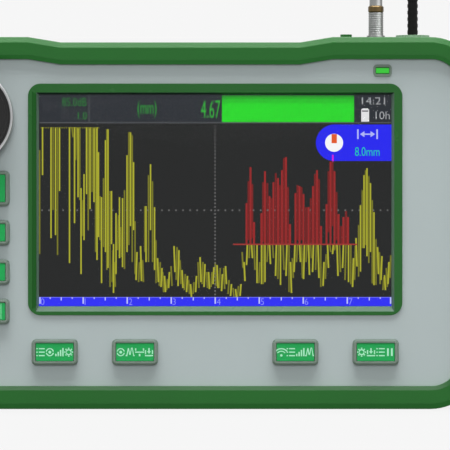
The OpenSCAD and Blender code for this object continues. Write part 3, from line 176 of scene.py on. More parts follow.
# The skin of a moulding: colour drifts a little from place to place, edges are rounded
# and rubbed paler, and a fine grain breaks the gloss.
moulded_skin, given, result = effect(
    "moulded_skin",
    {
        "Colour": (0.5, 0.5, 0.5, 1),
        "Drift": 0.06,
        "Patches per metre": 60.0,
        "Edge radius": 0.0003,
        "Edge rub": 0.2,
        "Grains per metre": 2200.0,
        "Grain height": 0.00002,
        "Gloss loss": 0.45,
    },
    {
        "Base Color": "NodeSocketColor",
        "Roughness": "NodeSocketFloat",
        "Normal": "NodeSocketVector",
    },
)
tree = moulded_skin
place = node(tree, "ShaderNodeTexCoord").outputs["Object"]
patches = node(
    tree,
    "ShaderNodeTexNoise",
    {"Vector": place, "Scale": given["Patches per metre"], "Detail": 4.0},
).outputs[0]
grains = node(
    tree,
    "ShaderNodeTexNoise",
    {"Vector": place, "Scale": given["Grains per metre"], "Detail": 2.0},
).outputs[0]
rounded = node(tree, "ShaderNodeBevel", {"Radius": given["Edge radius"]}, samples=6).outputs[0]
flat_normal = node(tree, "ShaderNodeNewGeometry").outputs["Normal"]
along = node(
    tree, "ShaderNodeVectorMath", {0: rounded, 1: flat_normal}, operation="DOT_PRODUCT"
).outputs["Value"]
edge = node(
    tree,
    "ShaderNodeMapRange",
    {"Value": along, "From Min": 0.995, "From Max": 0.8, "To Min": 0.0, "To Max": 1.0},
).outputs[0]
edge = node(tree, "ShaderNodeMath", {0: edge, 1: patches}, operation="MULTIPLY").outputs[0]
edge = node(
    tree, "ShaderNodeMath", {0: edge, 1: given["Edge rub"]}, operation="MULTIPLY"
).outputs[0]
toned, centred = toned_by(tree, patches, given["Colour"], given["Drift"])
worn_pale = (0.8, 0.82, 0.8, 1)
rubbed = node(tree, "ShaderNodeMix", {0: edge, 6: toned, 7: worn_pale}, data_type="RGBA")
tree.links.new(rubbed.outputs[2], result["Base Color"])
dulled = node(
    tree, "ShaderNodeMath", {0: centred, 1: 0.25, 2: given["Gloss loss"]}, operation="MULTIPLY_ADD"
)
tree.links.new(dulled.outputs[0], result["Roughness"])
raised = node(
    tree,
    "ShaderNodeBump",
    {"Height": grains, "Distance": given["Grain height"], "Normal": rounded},
)
tree.links.new(raised.outputs[0], result["Normal"])


def finish(name, skin, values, **sockets):
    """A material with a shared skin; further sockets of its shader are set by name."""
    material = bpy.data.materials.new(name)
    material.use_nodes = True
    tree = material.node_tree
    shader = tree.nodes["Principled BSDF"]
    shader.inputs["Specular IOR Level"].default_value = 0.2
    for socket, value in sockets.items():
        shader.inputs[socket.replace("_", " ")].default_value = value
    applied = node(tree, "ShaderNodeGroup", node_tree=skin)
    for label, value in values.items():
        applied.inputs[label].default_value = value
    for output in applied.outputs:
        tree.links.new(output, shader.inputs[output.name])
    return material


def cable(name, points, thick, material):
    """A round cord along points in millimetres."""
    line = bpy.data.curves.new(name, "CURVE")
    line.dimensions = "3D"
    line.bevel_depth = thick / 2
    line.bevel_resolution = 3
    line.resolution_u = 4
    line.use_fill_caps = True
    spline = line.splines.new("BEZIER")
    spline.bezier_points.add(len(points) - 1)
    for knot, point in zip(spline.bezier_points, points):
        knot.co = Vector(point) * mm
        knot.handle_left_type = knot.handle_right_type = "AUTO"
    line.materials.append(material)
    made = bpy.data.objects.new(name, line)
    scene.collection.objects.link(made)
    return made


def wound(start, radius, thick, turns, layers):
    """Points of a coil that starts at a point, lies in flat layers and ends above its start."""
    gap = 0.5
    steps_per_turn = 24
    pitch = thick + gap
    outer = radius + pitch * turns / layers / 2
    middle = Vector(start) + Vector((-thick, outer, 0))

    def climb(share):
        """A smooth rise from nought to one."""
        return (1 - math.cos(math.pi * min(max(share, 0), 1))) / 2

    points = [Vector(start)]
    lay = turns / layers
    for step in range(turns * steps_per_turn + 1):
        u = step / steps_per_turn
        layer = min(int(u / lay), layers - 1)
        part = u / lay - layer
        away = outer - pitch * lay * (part if layer % 2 == 0 else 1 - part)
        lift = pitch * sum(climb((u - b * lay) * 2 + 0.5) for b in range(1, layers))
        turn = math.radians(-90 - 360 * u)
        points.append(middle + Vector((away * math.cos(turn), away * math.sin(turn), lift)))
    return points + [points[-1] - Vector((thick, 0, 0))]


cable_black = finish(
    "cable_black",
    moulded_skin,
    {
        "Colour": paint(22, 21, 21),
        "Drift": 0.5,
        "Patches per metre": 240.0,
        "Edge radius": 0.0,
        "Edge rub": 0.0,
        "Grains per metre": 1500.0,
        "Grain height": 0.00008,
        "Gloss loss": 0.5,
    },
    Specular_IOR_Level=0.12,
)
probe_lead_thick = 3.0
probe_route = [
    (85, 5, 198.2), (85, 5, 203), (85.2, 7, 213), (85.5, 13, 222), (85.8, 21, 228),
    (86.2, 31, 230), (86.6, 41, 228), (87, 49, 222), (87.3, 55, 213), (87.5, 57, 203),
    (87.5, 57.3, 184), (87.5, 57.5, 164), (87.5, 57.8, 144), (87.5, 58, 124),
    (87.5, 58, 104), (87.5, 58, 84), (87.5, 58, 64), (87.5, 58, 46), (87.4, 58, 34),
    (86.5, 57, 24), (84, 55, 14.52), (80, 52.4, 7.53), (75, 49.8, 3.84),
    (69.5, 48.2, 2.54), (64, 47.6, 2.65),
]
probe_coil = wound((58.5, 47.6, 2.65), 18, probe_lead_thick, 10, 4)
probe_tail = [
    (46, 47.6, 12.85), (39, 47.5, 11.71), (32, 47.4, 10.18), (25.5, 48, 9.04),
    (19.5, 50, 8.31), (14.5, 53.6, 8.07), (11.3, 58.2, 8.04), (10, 63, 8), (10, 66.5, 8),
]
probe_cable = cable(
    "probe_cable",
    probe_route + probe_coil + probe_tail,
    probe_lead_thick * mm,
    cable_black,
)
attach(probe_cable, "instrument")
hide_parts("probe_lead", "probe_lead_coil")

# Data lead. A thicker black PVC cable from the round connector beside the probe plug,
# over the back beside the probe lead, coiled on the table and ending in a flat USB plug.
data_lead_thick = 3.8
data_route = [
    (101, 5, 181.8), (101, 5, 186), (101.1, 7, 197), (101.4, 13, 207),
    (101.7, 21.5, 213.5), (102, 32.5, 216), (102.3, 43.5, 213.5), (102.6, 52, 207),
    (102.9, 58, 197), (103, 60, 186), (103, 60, 166), (103, 60.2, 146), (103, 60.4, 126),
    (103, 60.5, 106), (103, 60.5, 86), (103, 60.5, 66), (103, 60.2, 48),
    (102.8, 59.5, 34), (101.8, 57.4, 22), (98.8, 53.6, 12), (93, 48.6, 5.4),
    (85, 44.2, 2.6), (75, 41.2, 2.2), (62, 40, 2.21), (46, 39.6, 2.21), (30, 39.6, 2.22),
    (14, 39.8, 2.23), (-2, 40.2, 2.44), (-14, 40.8, 2.84), (-22, 41, 3.05),
]
data_coil = wound((-28, 41, 3.05), 22.5, data_lead_thick, 5, 2)
data_tail = [
    (-42, 41.1, 6.95), (-49, 41.6, 6.11), (-56, 42.6, 5.18), (-63, 43.8, 4.44),
    (-70, 44.6, 4.11), (-76, 44.8, 4.07), (-80.5, 44.8, 4.04),
]
data_cable = cable(
    "data_cable", data_route + data_coil + data_tail, data_lead_thick * mm, cable_black
)
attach(data_cable, "instrument")
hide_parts("data_lead", "data_lead_coil")

# Bumpers. Two half frames of green moulded plastic, chamfered and a little rubbed at the
# edges, which clasp the panel and the rear case. The faces that look forward and down are
# painted paler, as painted light where the lamps leave them in shade, and the upward chamfer
# of the sill below the panel is painted darker, as painted shade.
bumper_green = finish(
    "bumper_green",
    moulded_skin,
    {
        "Colour": paint(27, 95, 32),
        "Drift": 0.14,
        "Patches per metre": 45.0,
        "Edge radius": 0.0005,
        "Edge rub": 0.12,
        "Grains per metre": 1800.0,
        "Grain height": 0.00003,
        "Gloss loss": 0.38,
    },
    Specular_IOR_Level=0.32,
)


def put_on(material, *names):
    """Gives each CAD node one material all over."""
    for name in names:
        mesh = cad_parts[name].data
        if len(mesh.materials) == 0:
            mesh.materials.append(material)
        for place in range(len(mesh.materials)):
            mesh.materials[place] = material


def repaint(name, material, chosen):
    """Gives the faces of a CAD node that a test picks a material of their own."""
    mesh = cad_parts[name].data
    mesh.materials.append(material)
    for face in mesh.polygons:
        if chosen(face):
            face.material_index = len(mesh.materials) - 1


put_on(bumper_green, "front_bumper", "rear_bumper")
tilt = 0.2
sill_height = 20 * mm
# Painted light: faces that look forward and down get a paler green.
bumper_painted_light = finish(
    "bumper_painted_light",
    moulded_skin,
    {"Colour": paint(38, 112, 43), "Drift": 0.14, "Patches per metre": 45.0, "Gloss loss": 0.38},
)
repaint(
    "front_bumper",
    bumper_painted_light,
    lambda face: face.normal.y < -tilt and face.normal.z < -tilt,
)
# Painted shade: the upward chamfer of the sill below the panel gets a darker green.
bumper_sill_painted_shade = finish(
    "bumper_sill_painted_shade",
    moulded_skin,
    {"Colour": paint(29, 80, 34), "Drift": 0.14, "Patches per metre": 45.0, "Gloss loss": 0.38},
    Specular_IOR_Level=0.32,
)
repaint(
    "front_bumper",
    bumper_sill_painted_shade,
    lambda face: face.normal.y < -tilt and face.normal.z > tilt and face.center.z < sill_height,
)

# Panel and rear case. Two pale blue-grey ABS mouldings with the fine spark texture of
# their mould, screwed together at the corners; the band between the bumpers is darker.
case_grey = finish(
    "case_grey",
    moulded_skin,
    {
        "Colour": paint(176, 187, 187),
        "Drift": 0.06,
        "Patches per metre": 35.0,
        "Edge radius": 0.0004,
        "Edge rub": 0.1,
        "Grains per metre": 2400.0,
        "Grain height": 0.00002,
        "Gloss loss": 0.55,
    },
)
put_on(case_grey, "front_panel", "rear_case", "battery_door")
case_band = finish(
    "case_band",
    moulded_skin,
    {
        "Colour": paint(104, 113, 114),
        "Drift": 0.08,
        "Patches per metre": 35.0,
        "Edge radius": 0.0004,
        "Edge rub": 0.1,
        "Grains per metre": 1600.0,
        "Grain height": 0.00004,
        "Gloss loss": 0.6,
    },
)
turned_sideways = 0.7
repaint("rear_case", case_band, lambda face: abs(face.normal.y) < turned_sideways)

# Case seal. A flat ring of dark silicone rubber, cut from sheet, which lies in the joint
# between panel and rear case. The stand's foot and the key mat are of the same rubber.
rubber_dark = finish(
    "rubber_dark",
    moulded_skin,
    {
        "Colour": paint(40, 42, 42),
        "Drift": 0.3,
        "Patches per metre": 120.0,
        "Edge radius": 0.0002,
        "Edge rub": 0.15,
        "Grains per metre": 1400.0,
        "Grain height": 0.00006,
        "Gloss loss": 0.75,
    },
)
put_on(rubber_dark, "case_seal", "stand_pad", "key_mat")

# Screen bezel. A glossier green moulded frame, seated on the panel, whose lip holds the
# window. Its sloping inner sides are painted: paler at the bottom as painted light, dark at
# the top as painted shade, and a pale grey-green at the left and right.
bezel_green = finish(
    "bezel_green",
    moulded_skin,
    {
        "Colour": paint(36, 95, 40),
        "Drift": 0.1,
        "Patches per metre": 50.0,
        "Edge radius": 0.0002,
        "Edge rub": 0.03,
        "Grains per metre": 1600.0,
        "Grain height": 0.00001,
        "Gloss loss": 0.25,
    },
)
put_on(bezel_green, "screen_bezel")
opening_middle, opening_half = 14.98 * mm, 78.5 * mm
opening_bottom, opening_top = 42.3 * mm, 137.7 * mm
slope_foot = -18.6 * mm
slope_tilt = 0.3


def in_opening(face):
    """Whether a face of the bezel lies in its opening, in front of the slopes' foot."""
    return (
        abs(face.center.x - opening_middle) < opening_half
        and opening_bottom < face.center.z < opening_top
        and face.center.y < slope_foot
    )


# Colours of the inner slopes: painted shade at the top, painted light at the bottom, and a pale
# grey-green on the left and right.
slopes = {
    "bezel_side_slope": (paint(94, 121, 104), lambda normal: abs(normal.x) > slope_tilt),
    "bezel_top_painted_shade": (paint(22, 52, 32), lambda normal: normal.z < -slope_tilt),
    "bezel_bottom_painted_light": (paint(46, 90, 64), lambda normal: normal.z > slope_tilt),
}
for name, (colour, faces_that_way) in slopes.items():
    painted_slope = finish(
        name,
        moulded_skin,
        {
            "Colour": colour,
            "Drift": 0.1,
            "Edge radius": 0.0002,
            "Edge rub": 0.0,
            "Gloss loss": 0.3,
        },
    )
    repaint("screen_bezel", painted_slope, lambda face: in_opening(face) and faces_that_way(face.normal))

# Circuit boards. Fibreglass boards with a green lacquer over their copper tracks, held on
# posts behind the display and behind the keys.
board_green = finish(
    "board_green",
    moulded_skin,
    {
        "Colour": paint(24, 92, 52),
        "Drift": 0.5,
        "Patches per metre": 500.0,
        "Edge radius": 0.0001,
        "Edge rub": 0.3,
        "Grains per metre": 3000.0,
        "Grain height": 0.00003,
        "Gloss loss": 0.4,
    },
)
put_on(board_green, "main_board", "key_board")

# Bright metal parts. Turned and drawn steel for the display's tray, the screws, the nuts
# and the knob's encoder: fine lines run round or along each part and scatter the light.
drawn_metal, given, result = effect(
    "drawn_metal",
    {
        "Colour": (0.6, 0.6, 0.6, 1),
        "Drift": 0.3,
        "Lines across": 900.0,
        "Lines along": 30.0,
        "Edge radius": 0.0002,
        "Line depth": 0.00001,
        "Gloss loss": 0.3,
        "Painted gleam": 0.0,
    },
    {
        "Base Color": "NodeSocketColor",
        "Roughness": "NodeSocketFloat",
        "Normal": "NodeSocketVector",
    },
)
tree = drawn_metal
place = node(tree, "ShaderNodeTexCoord").outputs["Object"]
stretch = node(
    tree,
    "ShaderNodeCombineXYZ",
    {0: given["Lines across"], 1: given["Lines across"], 2: given["Lines along"]},
).outputs[0]
drawn = node(tree, "ShaderNodeVectorMath", {0: place, 1: stretch}, operation="MULTIPLY").outputs[0]
lines = node(
    tree, "ShaderNodeTexNoise", {"Vector": drawn, "Scale": 1.0, "Detail": 3.0}
).outputs[0]
rounded = node(tree, "ShaderNodeBevel", {"Radius": given["Edge radius"]}, samples=6).outputs[0]
toned, centred = toned_by(tree, lines, given["Colour"], given["Drift"])
# Painted highlight: the base colour is made brighter on faces that turn towards +x, most where they
# face about halfway to it, as if they mirrored a strip light; the gleam input sets how much.
normal = node(tree, "ShaderNodeTexCoord").outputs["Normal"]
turned_to = node(tree, "ShaderNodeSeparateXYZ", {0: normal}).outputs[0]
rise = node(
    tree,
    "ShaderNodeMapRange",
    {"Value": turned_to, "From Min": -0.1, "From Max": 0.42},
    interpolation_type="SMOOTHSTEP",
).outputs[0]
fall = node(
    tree,
    "ShaderNodeMapRange",
    {"Value": turned_to, "From Min": 0.5, "From Max": 0.85, "To Min": 1.0, "To Max": 0.0},
    interpolation_type="SMOOTHSTEP",
).outputs[0]
gleam = node(tree, "ShaderNodeMath", {0: rise, 1: fall}, operation="MULTIPLY").outputs[0]
gleam = node(
    tree, "ShaderNodeMath", {0: gleam, 1: given["Painted gleam"], 2: 1.0}, operation="MULTIPLY_ADD"
).outputs[0]
toned = node(
    tree, "ShaderNodeVectorMath", {0: toned, "Scale": gleam}, operation="SCALE"
).outputs[0]
tree.links.new(toned, result["Base Color"])
dulled = node(
    tree, "ShaderNodeMath", {0: centred, 1: 0.3, 2: given["Gloss loss"]}, operation="MULTIPLY_ADD"
)
tree.links.new(dulled.outputs[0], result["Roughness"])
raised = node(
    tree,
    "ShaderNodeBump",
    {"Height": lines, "Distance": given["Line depth"], "Normal": rounded},
)
tree.links.new(raised.outputs[0], result["Normal"])

steel = finish(
    "steel",
    drawn_metal,
    {"Colour": paint(178, 180, 182), "Drift": 0.25, "Gloss loss": 0.32},
    Metallic=1.0,
)
put_on(steel, "lcd_module", "case_screws", "battery_door_screws", "stand_pins", "usb_shell",
       "encoder_body", "encoder_nut", "encoder_shaft", "encoder_plunger", "socket_nuts")

# Key frames. Grey cast metal surrounds with a slightly rough face, pressed into the
# panel; the keys sit a little below their rims. The faces that look up are painted darker,
# as painted shade.
frame_metal = finish(
    "frame_metal",
    moulded_skin,
    {
        "Colour": paint(118, 134, 122),
        "Drift": 0.3,
        "Patches per metre": 400.0,
        "Edge radius": 0.0004,
        "Edge rub": 0.12,
        "Grains per metre": 2600.0,
        "Grain height": 0.00003,
        "Gloss loss": 0.5,
    },
)
put_on(frame_metal, "key_frames", "lamp_frame")
# Painted shade: the upward faces of the key frames get a darker grey.
frame_rim = finish(
    "frame_rim",
    moulded_skin,
    {"Colour": paint(98, 113, 105), "Drift": 0.3, "Patches per metre": 400.0, "Gloss loss": 0.55},
)
rim_tilt = 0.3
repaint("key_frames", frame_rim, lambda face: face.normal.z > rim_tilt)

# Keys. Green caps of moulded silicone, each held behind the panel by its flange and
# pushed forward by a dome of the mat below it.
key_green = finish(
    "key_green",
    moulded_skin,
    {
        "Colour": paint(35, 165, 85),
        "Drift": 0.12,
        "Patches per metre": 200.0,
        "Edge radius": 0.0004,
        "Edge rub": 0.25,
        "Grains per metre": 2000.0,
        "Grain height": 0.00002,
        "Gloss loss": 0.4,
    },
)
keys = [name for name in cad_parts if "_key_" in name]
put_on(key_green, *keys)

# Lamp. A dark green lens of moulded acrylic, clipped into a grey frame above the screen;
# its lit core is added with the display's picture.
lamp_glass = finish(
    "lamp_glass",
    moulded_skin,
    {"Colour": paint(46, 112, 48), "Drift": 0.1, "Gloss loss": 0.3, "Grain height": 0.00001},
)
put_on(lamp_glass, "lamp_lens")

# Knob. A black moulded cap with a fluted side and a matt face with a finger dimple,
# pressed on the encoder's shaft; a bright ring of turned metal lies round its face.
knob_black = finish(
    "knob_black",
    moulded_skin,
    {
        "Colour": paint(33, 33, 33),
        "Drift": 0.3,
        "Patches per metre": 150.0,
        "Edge radius": 0.0003,
        "Edge rub": 0.15,
        "Grains per metre": 2000.0,
        "Grain height": 0.00002,
        "Gloss loss": 0.4,
    },
)
put_on(knob_black, "knob", "knob_face", "knob_ring")
# The ring's metal carries a painted highlight: its colour is brighter on the faces turned to the
# right.
ring_metal = finish(
    "ring_metal",
    drawn_metal,
    {"Colour": paint(172, 173, 174), "Gloss loss": 0.35, "Painted gleam": 0.7},
    Metallic=1.0,
)
knob_x, knob_z = -92.45, 125.5
rim_steps = 96
rim_section = [
    (19.6, 34.2), (21, 34.2), (21, 34.6), (20.85, 35), (20.55, 35.25), (20.2, 35.25),
    (19.8, 34.95), (19.6, 34.65),
]
shape = bmesh.new()
loop = [shape.verts.new((r * mm, -out * mm, 0)) for r, out in rim_section]
edges = [shape.edges.new((loop[k - 1], loop[k])) for k in range(len(loop))]
bmesh.ops.spin(
    shape, geom=loop + edges, cent=(0, 0, 0), axis=(0, 1, 0), angle=math.tau, steps=rim_steps,
    use_merge=True,
)
bmesh.ops.recalc_face_normals(shape, faces=shape.faces)
bmesh.ops.translate(shape, verts=shape.verts, vec=(knob_x * mm, 0, knob_z * mm))
rim_mesh = bpy.data.meshes.new("knob_rim")
shape.to_mesh(rim_mesh)
shape.free()
rim_mesh.materials.append(ring_metal)
knob_rim = bpy.data.objects.new("knob_rim", rim_mesh)
scene.collection.objects.link(knob_rim)
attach(knob_rim, "knob_turning")

# Battery pack. A row of lithium cells in a sleeve of blue PVC film, shrunk on with heat,
# which lies in the bay behind the battery door.
film_blue = finish(
    "film_blue",
    moulded_skin,
    {
        "Colour": paint(34, 66, 128),
        "Drift": 0.15,
        "Patches per metre": 80.0,
        "Edge radius": 0.0008,
        "Edge rub": 0.1,
        "Grains per metre": 900.0,
        "Grain height": 0.00004,
        "Gloss loss": 0.25,
    },
)
put_on(film_blue, "battery_pack")

# Stand. A flat folding leg of black glass-filled plastic on two steel pins. The USB plug
# and the straps round the coils are moulded in the same black.
stand_black = finish(
    "stand_black",
    moulded_skin,
    {
        "Colour": paint(52, 54, 54),
        "Drift": 0.2,
        "Patches per metre": 90.0,
        "Edge radius": 0.0004,
        "Edge rub": 0.2,
        "Grains per metre": 1700.0,
        "Grain height": 0.00004,
        "Gloss loss": 0.5,
    },
)
put_on(stand_black, "stand", "usb_plug", "coil_ties")

# Sockets and plugs. The probe plug is nickel plated brass, knurled, with a bare brass ring
# between sleeve and nut, and screws on its socket. The coaxial sockets have green plastic
# bodies, the data plug a pale green one, and black sleeves relieve both leads.
# Painted highlight: the nickel, and less the brass, are made brighter on faces turned to the right,
# as a painted reflection of a strip light.
nickel = finish(
    "nickel",
    drawn_metal,
    {
        "Colour": (0.3, 0.3, 0.3, 1),
        "Drift": 0.25,
        "Lines across": 60.0,
        "Lines along": 900.0,
        "Gloss loss": 0.42,
        "Painted gleam": 1.25,
    },
    Metallic=1.0,
)
put_on(nickel, "data_socket", "probe_plug_sleeve", "probe_plug_nut")
put_on(bumper_green, "probe_sockets")
brass = finish(
    "brass",
    drawn_metal,
    {"Colour": (0.13, 0.09, 0.042, 1), "Drift": 0.5, "Gloss loss": 0.4, "Painted gleam": 0.3},
    Metallic=1.0,
)
put_on(brass, "probe_plug_ring")
foot_green = finish(
    "foot_green",
    moulded_skin,
    {"Colour": paint(128, 164, 130), "Drift": 0.1, "Edge radius": 0.0003, "Gloss loss": 0.45},
)
put_on(foot_green, "data_plug")
put_on(cable_black, "data_plug_relief", "probe_plug_relief")

# Probe. An angle probe: a brushed steel housing with the crystal, cemented on a clear
# amber wedge of machined acrylic.
put_on(steel, "probe_housing")
acrylic = finish(
    "acrylic",
    moulded_skin,
    {
        "Colour": paint(196, 150, 80),
        "Drift": 0.1,
        "Edge radius": 0.0003,
        "Edge rub": 0.1,
        "Grain height": 0.00001,
        "Gloss loss": 0.15,
    },
    Transmission_Weight=0.6,
    IOR=1.49,
)
put_on(acrylic, "probe_wedge")

# Display picture. The lit liquid crystal layer: a dark field with the echo trace, a status
# bar above it and a blue scale below. Each colour is a film 0.05 mm in front of the last.
no_colour = (0, 0, 0, 1)
picture_left, picture_right = -60.9, 90.86
picture_bottom, picture_top = 43.9, 135.6
field_bottom, field_top = 48.1, 123.0
film = 0.05
picture_back = 18.6
ground_thick = 0.2
past_edge = 1
degrees_per_step = 12


def prism(name, outlines, back, front, material, body="instrument"):
    """Closed plates with the given outlines, seen from the front, between two depths."""
    shape = bmesh.new()
    plates = [
        shape.faces.new([shape.verts.new((x * mm, -back * mm, z * mm)) for x, z in outline])
        for outline in outlines
    ]
    raised = bmesh.ops.extrude_face_region(shape, geom=plates, use_keep_orig=True)["geom"]
    fronts = [part for part in raised if isinstance(part, bmesh.types.BMVert)]
    bmesh.ops.translate(shape, verts=fronts, vec=(0, (back - front) * mm, 0))
    bmesh.ops.recalc_face_normals(shape, faces=shape.faces)
    many_sided = [face for face in shape.faces if len(face.verts) > 4]
    bmesh.ops.triangulate(shape, faces=many_sided, ngon_method="EAR_CLIP")
    return stand_in(name, shape, material, body)


def stand_in(name, shape, material, body):
    """An object of a bmesh, with one material, that rides on a body."""
    mesh = bpy.data.meshes.new(name)
    shape.to_mesh(mesh)
    shape.free()
    mesh.materials.append(material)
    made = bpy.data.objects.new(name, mesh)
    scene.collection.objects.link(made)
    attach(made, body)
    return made


def box(left, bottom, right, top):
    """The outline of an upright rectangle."""
    return [(left, bottom), (right, bottom), (right, top), (left, top)]


def curve(x, z, radius, start, end):
    """Points along a circle, between two angles in degrees."""
    steps = max(4, round(abs(end - start) / degrees_per_step))
    angles = [math.radians(start + (end - start) * k / steps) for k in range(steps + 1)]
    return [(x + radius * math.cos(a), z + radius * math.sin(a)) for a in angles]


def disc(x, z, radius):
    """The outline of a round spot."""
    return curve(x, z, radius, 0, 345)


def lettering(name, text, left, bottom, right, top, back, front, material, narrow=None):
    """Figures that fill a given box, turned into a closed mesh."""
    line = bpy.data.curves.new(name, "FONT")
    line.body = text
    line.extrude = 0.5
    line.offset = -0.006
    line.resolution_u = 3
    written = bpy.data.objects.new(name + "_line", line)
    scene.collection.objects.link(written)
    bpy.context.view_layer.update()
    solved = written.evaluated_get(bpy.context.evaluated_depsgraph_get())
    mesh = bpy.data.meshes.new_from_object(solved)
    bpy.data.objects.remove(written)
    shape = bmesh.new()
    shape.from_mesh(mesh)
    bmesh.ops.remove_doubles(shape, verts=shape.verts, dist=0.0001)
    low = [min(v.co[axis] for v in shape.verts) for axis in range(3)]
    high = [max(v.co[axis] for v in shape.verts) for axis in range(3)]
    if narrow:
        right = left + narrow * (top - bottom) * (high[0] - low[0]) / (high[1] - low[1])
    for v in shape.verts:
        u, w, t = ((v.co[axis] - low[axis]) / (high[axis] - low[axis]) for axis in range(3))
        across, up, out = left + u * (right - left), bottom + w * (top - bottom), t * (front - back)
        v.co = Vector((across, -back - out, up)) * mm
    bmesh.ops.recalc_face_normals(shape, faces=shape.faces)
    return stand_in(name, shape, material, "instrument")


# The light behind the picture: a colour that swells and fades a little from place to place.
backlight, given, result = effect(
    "backlight",
    {"Colour": (0.5, 0.5, 0.5, 1), "Unevenness": 0.1, "Swells per metre": 25.0},
    {"Emission Color": "NodeSocketColor"},
)
tree = backlight
place = node(tree, "ShaderNodeTexCoord").outputs["Object"]
swells = node(
    tree,
    "ShaderNodeTexNoise",
    {"Vector": place, "Scale": given["Swells per metre"], "Detail": 1.0},
).outputs[0]
toned = toned_by(tree, swells, given["Colour"], given["Unevenness"])[0]
tree.links.new(toned, result["Emission Color"])


def lit(name, red, green, blue):
    """The glowing material of one colour on the screen."""
    return finish(
        name,
        backlight,
        {"Colour": paint(red, green, blue)},
        Base_Color=no_colour,
        Specular_IOR_Level=0.0,
        Emission_Strength=1.0,
    )


def layer(level):
    """The back and front of one film of the picture."""
    back = picture_back + ground_thick + film * level
    return back, back + film


# Echoes, drawn as an echo trace looks: divisions along the scale, then foot and tip in
# percent of the full height. Every second one is dim, and those over the gate are red.
bright_echoes = [
    (0.075, 71.8, 100), (0.268, 34.7, 100), (0.37, 36.5, 100), (0.461, 62.4, 100),
    (0.688, 20, 100), (0.802, 43.5, 100), (0.882, 58.8, 100), (0.95, 13.5, 64.1),
    (1.018, 33.5, 72.4), (1.075, 60.6, 100), (1.154, 51.8, 100), (1.245, 55.9, 100),
    (1.313, 21.8, 100), (1.347, 35.3, 85.3), (1.416, 8.2, 58.8), (1.506, 26.5, 92.4),
    (1.563, 17.1, 98.8), (1.643, 31.2, 62.4), (1.688, 2.4, 31.2), (1.745, 13.5, 49.4),
    (1.824, 22.9, 58.8), (1.893, 17.6, 58.2), (1.995, 26.5, 83.5), (2.074, 41.8, 97.1),
    (2.143, 39.4, 79.4), (2.211, 10, 26.5), (2.313, 9.4, 30), (2.427, 20.6, 53.5),
    (2.529, 39.4, 78.2), (2.62, 15.9, 52.9), (2.699, 8.8, 22.9), (2.779, 5.9, 17.1),
    (2.858, 2.9, 12.4), (2.949, 5.3, 14.7), (3.074, 14.7, 30), (3.165, 6.5, 27.6),
    (3.256, 5.3, 15.9), (3.358, 2.9, 12.4), (3.449, 0, 7.6), (3.563, 2.9, 12.4),
    (3.665, 8.8, 23.5), (3.756, 5.9, 19.4), (3.858, 4.7, 14.7), (3.96, 7.6, 17.6),
    (4.051, 5.3, 18.8), (4.153, 3.5, 13.5), (4.244, 7.6, 18.2), (4.358, 0.6, 7.6),
    (4.471, 0, 4.7), (4.574, 0.6, 7.6), (4.665, 9.4, 20.6), (4.721, 18.8, 31.2),
    (4.835, 22.9, 31.2), (4.949, 8.2, 31.2), (5.051, 7.6, 31.2), (5.13, 8.8, 31.2),
    (5.244, 19.4, 31.2), (5.38, 12.4, 31.2), (5.483, 7.1, 31.2), (5.619, 12.4, 31.2),
    (5.721, 2.4, 20.6), (5.801, 14.7, 31.2), (5.926, 20.6, 31.2), (6.016, 10.6, 31.2),
    (6.13, 13, 31.2), (6.221, 14.7, 31.2), (6.346, 11.2, 31.2), (6.46, 6.5, 20.6),
    (6.562, 17.1, 31.2), (6.675, 25.3, 31.2), (6.778, 12.4, 31.2), (6.903, 17.1, 31.2),
    (7.028, 8.8, 31.2), (7.13, 5.9, 22.9), (7.209, 18, 34.7), (7.3, 15, 54.1),
    (7.38, 28.8, 71.8), (7.448, 24, 75.9), (7.527, 26.5, 67.1), (7.607, 7, 50),
    (7.698, 13.5, 29.4), (7.777, 10, 24.1), (7.857, 4.1, 12.9), (7.936, 7.6, 20.6),
]
